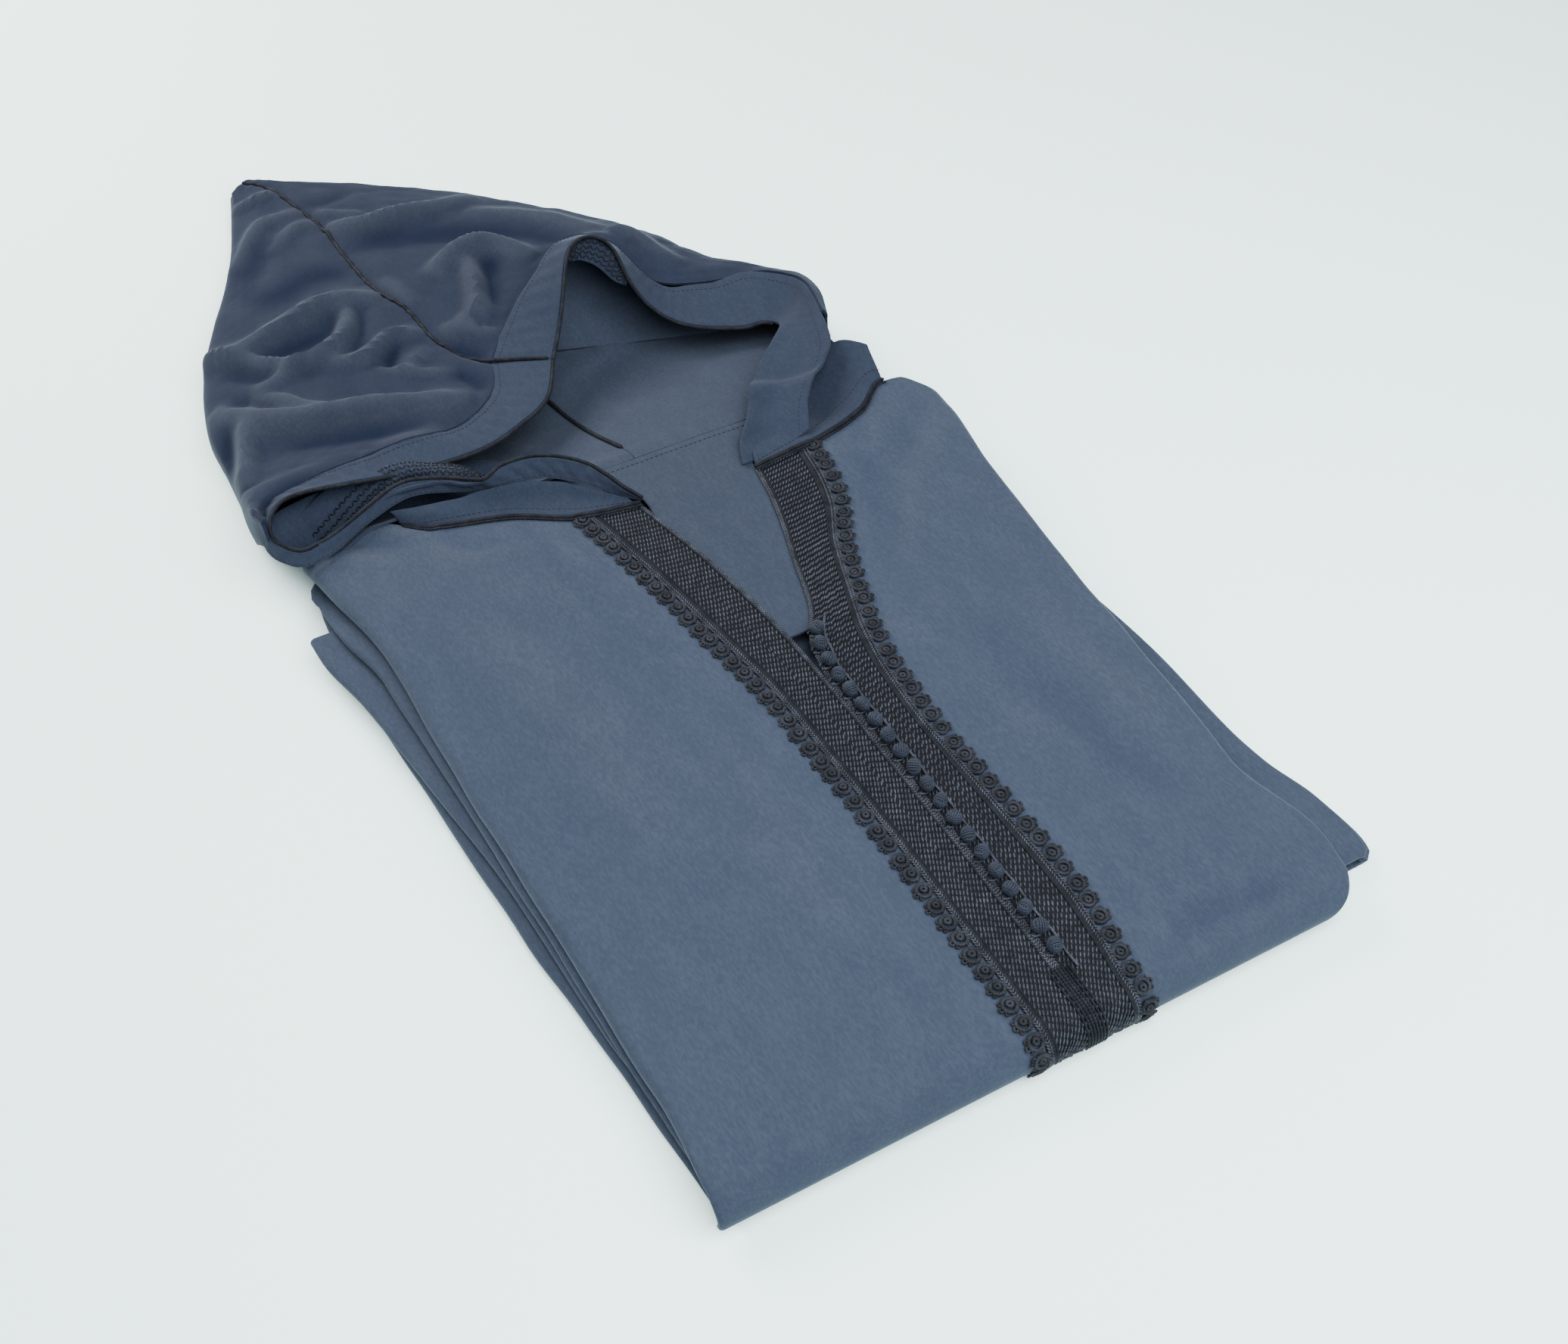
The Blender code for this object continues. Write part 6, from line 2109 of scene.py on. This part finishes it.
class RobeCloth(bpy.types.PropertyGroup):
    """Sizes and colours of the robe's cloth."""

    shade: colour_setting("Shade", "Colour of the cloth", (0.0202, 0.0270, 0.0422))
    brushed: colour_setting("Brushed", "Colour where the nap is brushed up", (0.0303, 0.0392, 0.0569))
    pressed: colour_setting("Pressed", "Colour where the nap is pressed flat", (0.0155, 0.0210, 0.0360))
    sheen: FloatProperty(name="Sheen", description="Strength of the nap's sheen", subtype="FACTOR",
                         min=0.0, max=1.0, default=0.10)
    fibre_size: length_setting("Fibre size", "Size of the nap's grain", 0.0003, 0.01, 0.0016)
    fold_depth: FloatProperty(name="Fold depth", description="Depth of the soft folds, as a share",
                              subtype="FACTOR", min=0.0, max=2.0, default=1.0)


class RobeTrims(bpy.types.PropertyGroup):
    """Sizes and colours of the robe's trims."""

    thread: colour_setting("Thread", "Colour of the braid and cords", (0.0051, 0.0065, 0.0102))
    # Painted highlight: a lighter thread colour laid in random patches as glints.
    glint: colour_setting("Glint", "Colour of thread that is rubbed bright", (0.044, 0.049, 0.066))
    button_thread: colour_setting("Button thread", "Colour of the knotted buttons", (0.0085, 0.012, 0.020))
    plait_pitch: length_setting("Plait pitch", "Step between stitches of the braid", 0.002, 0.01, 0.0043)
    plait_slant: FloatProperty(name="Plait slant", description="Slant of the braid's stitches in degrees",
                               min=0.0, max=60.0, default=30.0)
    loop_pitch: length_setting("Loop pitch", "Step between loops of the edging", 0.006, 0.03, 0.011)


class RobeStage(bpy.types.PropertyGroup):
    """Light and floor."""

    floor_colour: colour_setting("Floor", "Colour of the floor", (0.78, 0.99, 0.94))
    surround_colour: colour_setting("Surround", "Colour of the surround", (0.88, 0.94, 1.0))
    surround_power: FloatProperty(name="Surround power", description="Strength of the surround",
                                  min=0.0, max=5.0, default=0.60)
    key_power: lamp_setting("Window power", "Power of the lamp behind the robe", 106.0)
    fill_power: lamp_setting("Overhead power", "Power of the lamp above", 100.0)


class Maker:
    """What the operators share: each one runs the functions in its list of pieces."""

    pieces = ()

    def execute(self, context):
        for add in self.pieces:
            add()
        return {"FINISHED"}


class RobePile(Maker, bpy.types.Operator):
    """Make the folded layers, the sleeves' edges and the inside of the back."""

    bl_idname = "robe.pile"
    bl_label = "Folded pile"
    pieces = (add_folded_layers, add_sleeves, add_back)


class RobeFronts(Maker, bpy.types.Operator):
    """Make the two fronts that wrap round the near fold."""

    bl_idname = "robe.fronts"
    bl_label = "Fronts"
    pieces = (add_fronts,)


class RobeBraid(Maker, bpy.types.Operator):
    """Make the braid bands and the plain cords below the buttons."""

    bl_idname = "robe.braid"
    bl_label = "Braid bands"
    pieces = (add_bands, add_opening_cords)


class RobeEdging(Maker, bpy.types.Operator):
    """Make the looped edging along the bands."""

    bl_idname = "robe.edging"
    bl_label = "Looped edging"
    pieces = (add_looped_edging,)


class RobeButtons(Maker, bpy.types.Operator):
    """Make the knotted buttons and their loops."""

    bl_idname = "robe.buttons"
    bl_label = "Knotted buttons"
    pieces = (add_buttons,)


class RobeHood(Maker, bpy.types.Operator):
    """Make the hood's two sides, its under layer, its inner cloth and its neck strips."""

    bl_idname = "robe.hood"
    bl_label = "Hood"
    pieces = (add_hood_lining, add_hood_cloth, add_neck_strips, add_hood_wall, add_hood_return,
              add_hood_turns, add_neckline_stitches)


class RobeHem(Maker, bpy.types.Operator):
    """Make the doubled hem round the face opening, with its stitches."""

    bl_idname = "robe.hem"
    bl_label = "Hood hem"
    pieces = (add_hems, add_hem_stitches)


class RobeCords(Maker, bpy.types.Operator):
    """Make the cords on the hood's seams, round its rim and along the neck."""

    bl_idname = "robe.cords"
    bl_label = "Seam cords"
    pieces = (add_seam_cords, add_rim_piping, add_neck_cords)


class RobeStageMaker(Maker, bpy.types.Operator):
    """Make the camera, the floor and the light."""

    bl_idname = "robe.stage"
    bl_label = "Stage"
    pieces = (add_camera, add_stage)


MAKERS = (RobeStageMaker, RobePile, RobeFronts, RobeBraid, RobeEdging, RobeButtons, RobeHood, RobeHem,
          RobeCords)
GROUPS = (("robe_cloth", RobeCloth), ("robe_trims", RobeTrims), ("robe_stage", RobeStage))


class RobePanel(bpy.types.Panel):
    """Panel that lists the robe's pieces and its settings."""

    bl_idname = "VIEW3D_PT_robe"
    bl_label = "Folded robe"
    bl_space_type = "VIEW_3D"
    bl_region_type = "UI"
    bl_category = "Robe"

    def draw(self, context):
        for group_name, group in GROUPS:
            box = self.layout.box()
            for name in group.__annotations__:
                box.prop(getattr(context.scene, group_name), name)
        for maker in MAKERS:
            self.layout.operator(maker.bl_idname)


def register():
    for group_name, group in GROUPS:
        bpy.utils.register_class(group)
        setattr(bpy.types.Scene, group_name, PointerProperty(type=group))
    for maker in MAKERS:
        bpy.utils.register_class(maker)
    bpy.utils.register_class(RobePanel)


def unregister():
    bpy.utils.unregister_class(RobePanel)
    for maker in reversed(MAKERS):
        bpy.utils.unregister_class(maker)
    for group_name, group in reversed(GROUPS):
        delattr(bpy.types.Scene, group_name)
        bpy.utils.unregister_class(group)


def main():
    register()
    for maker in MAKERS:
        group, name = maker.bl_idname.split(".")
        getattr(getattr(bpy.ops, group), name)()
    for shape in [made for made in bpy.data.objects if not made.users_collection]:
        bpy.data.objects.remove(shape)


if __name__ == "__main__":
    main()
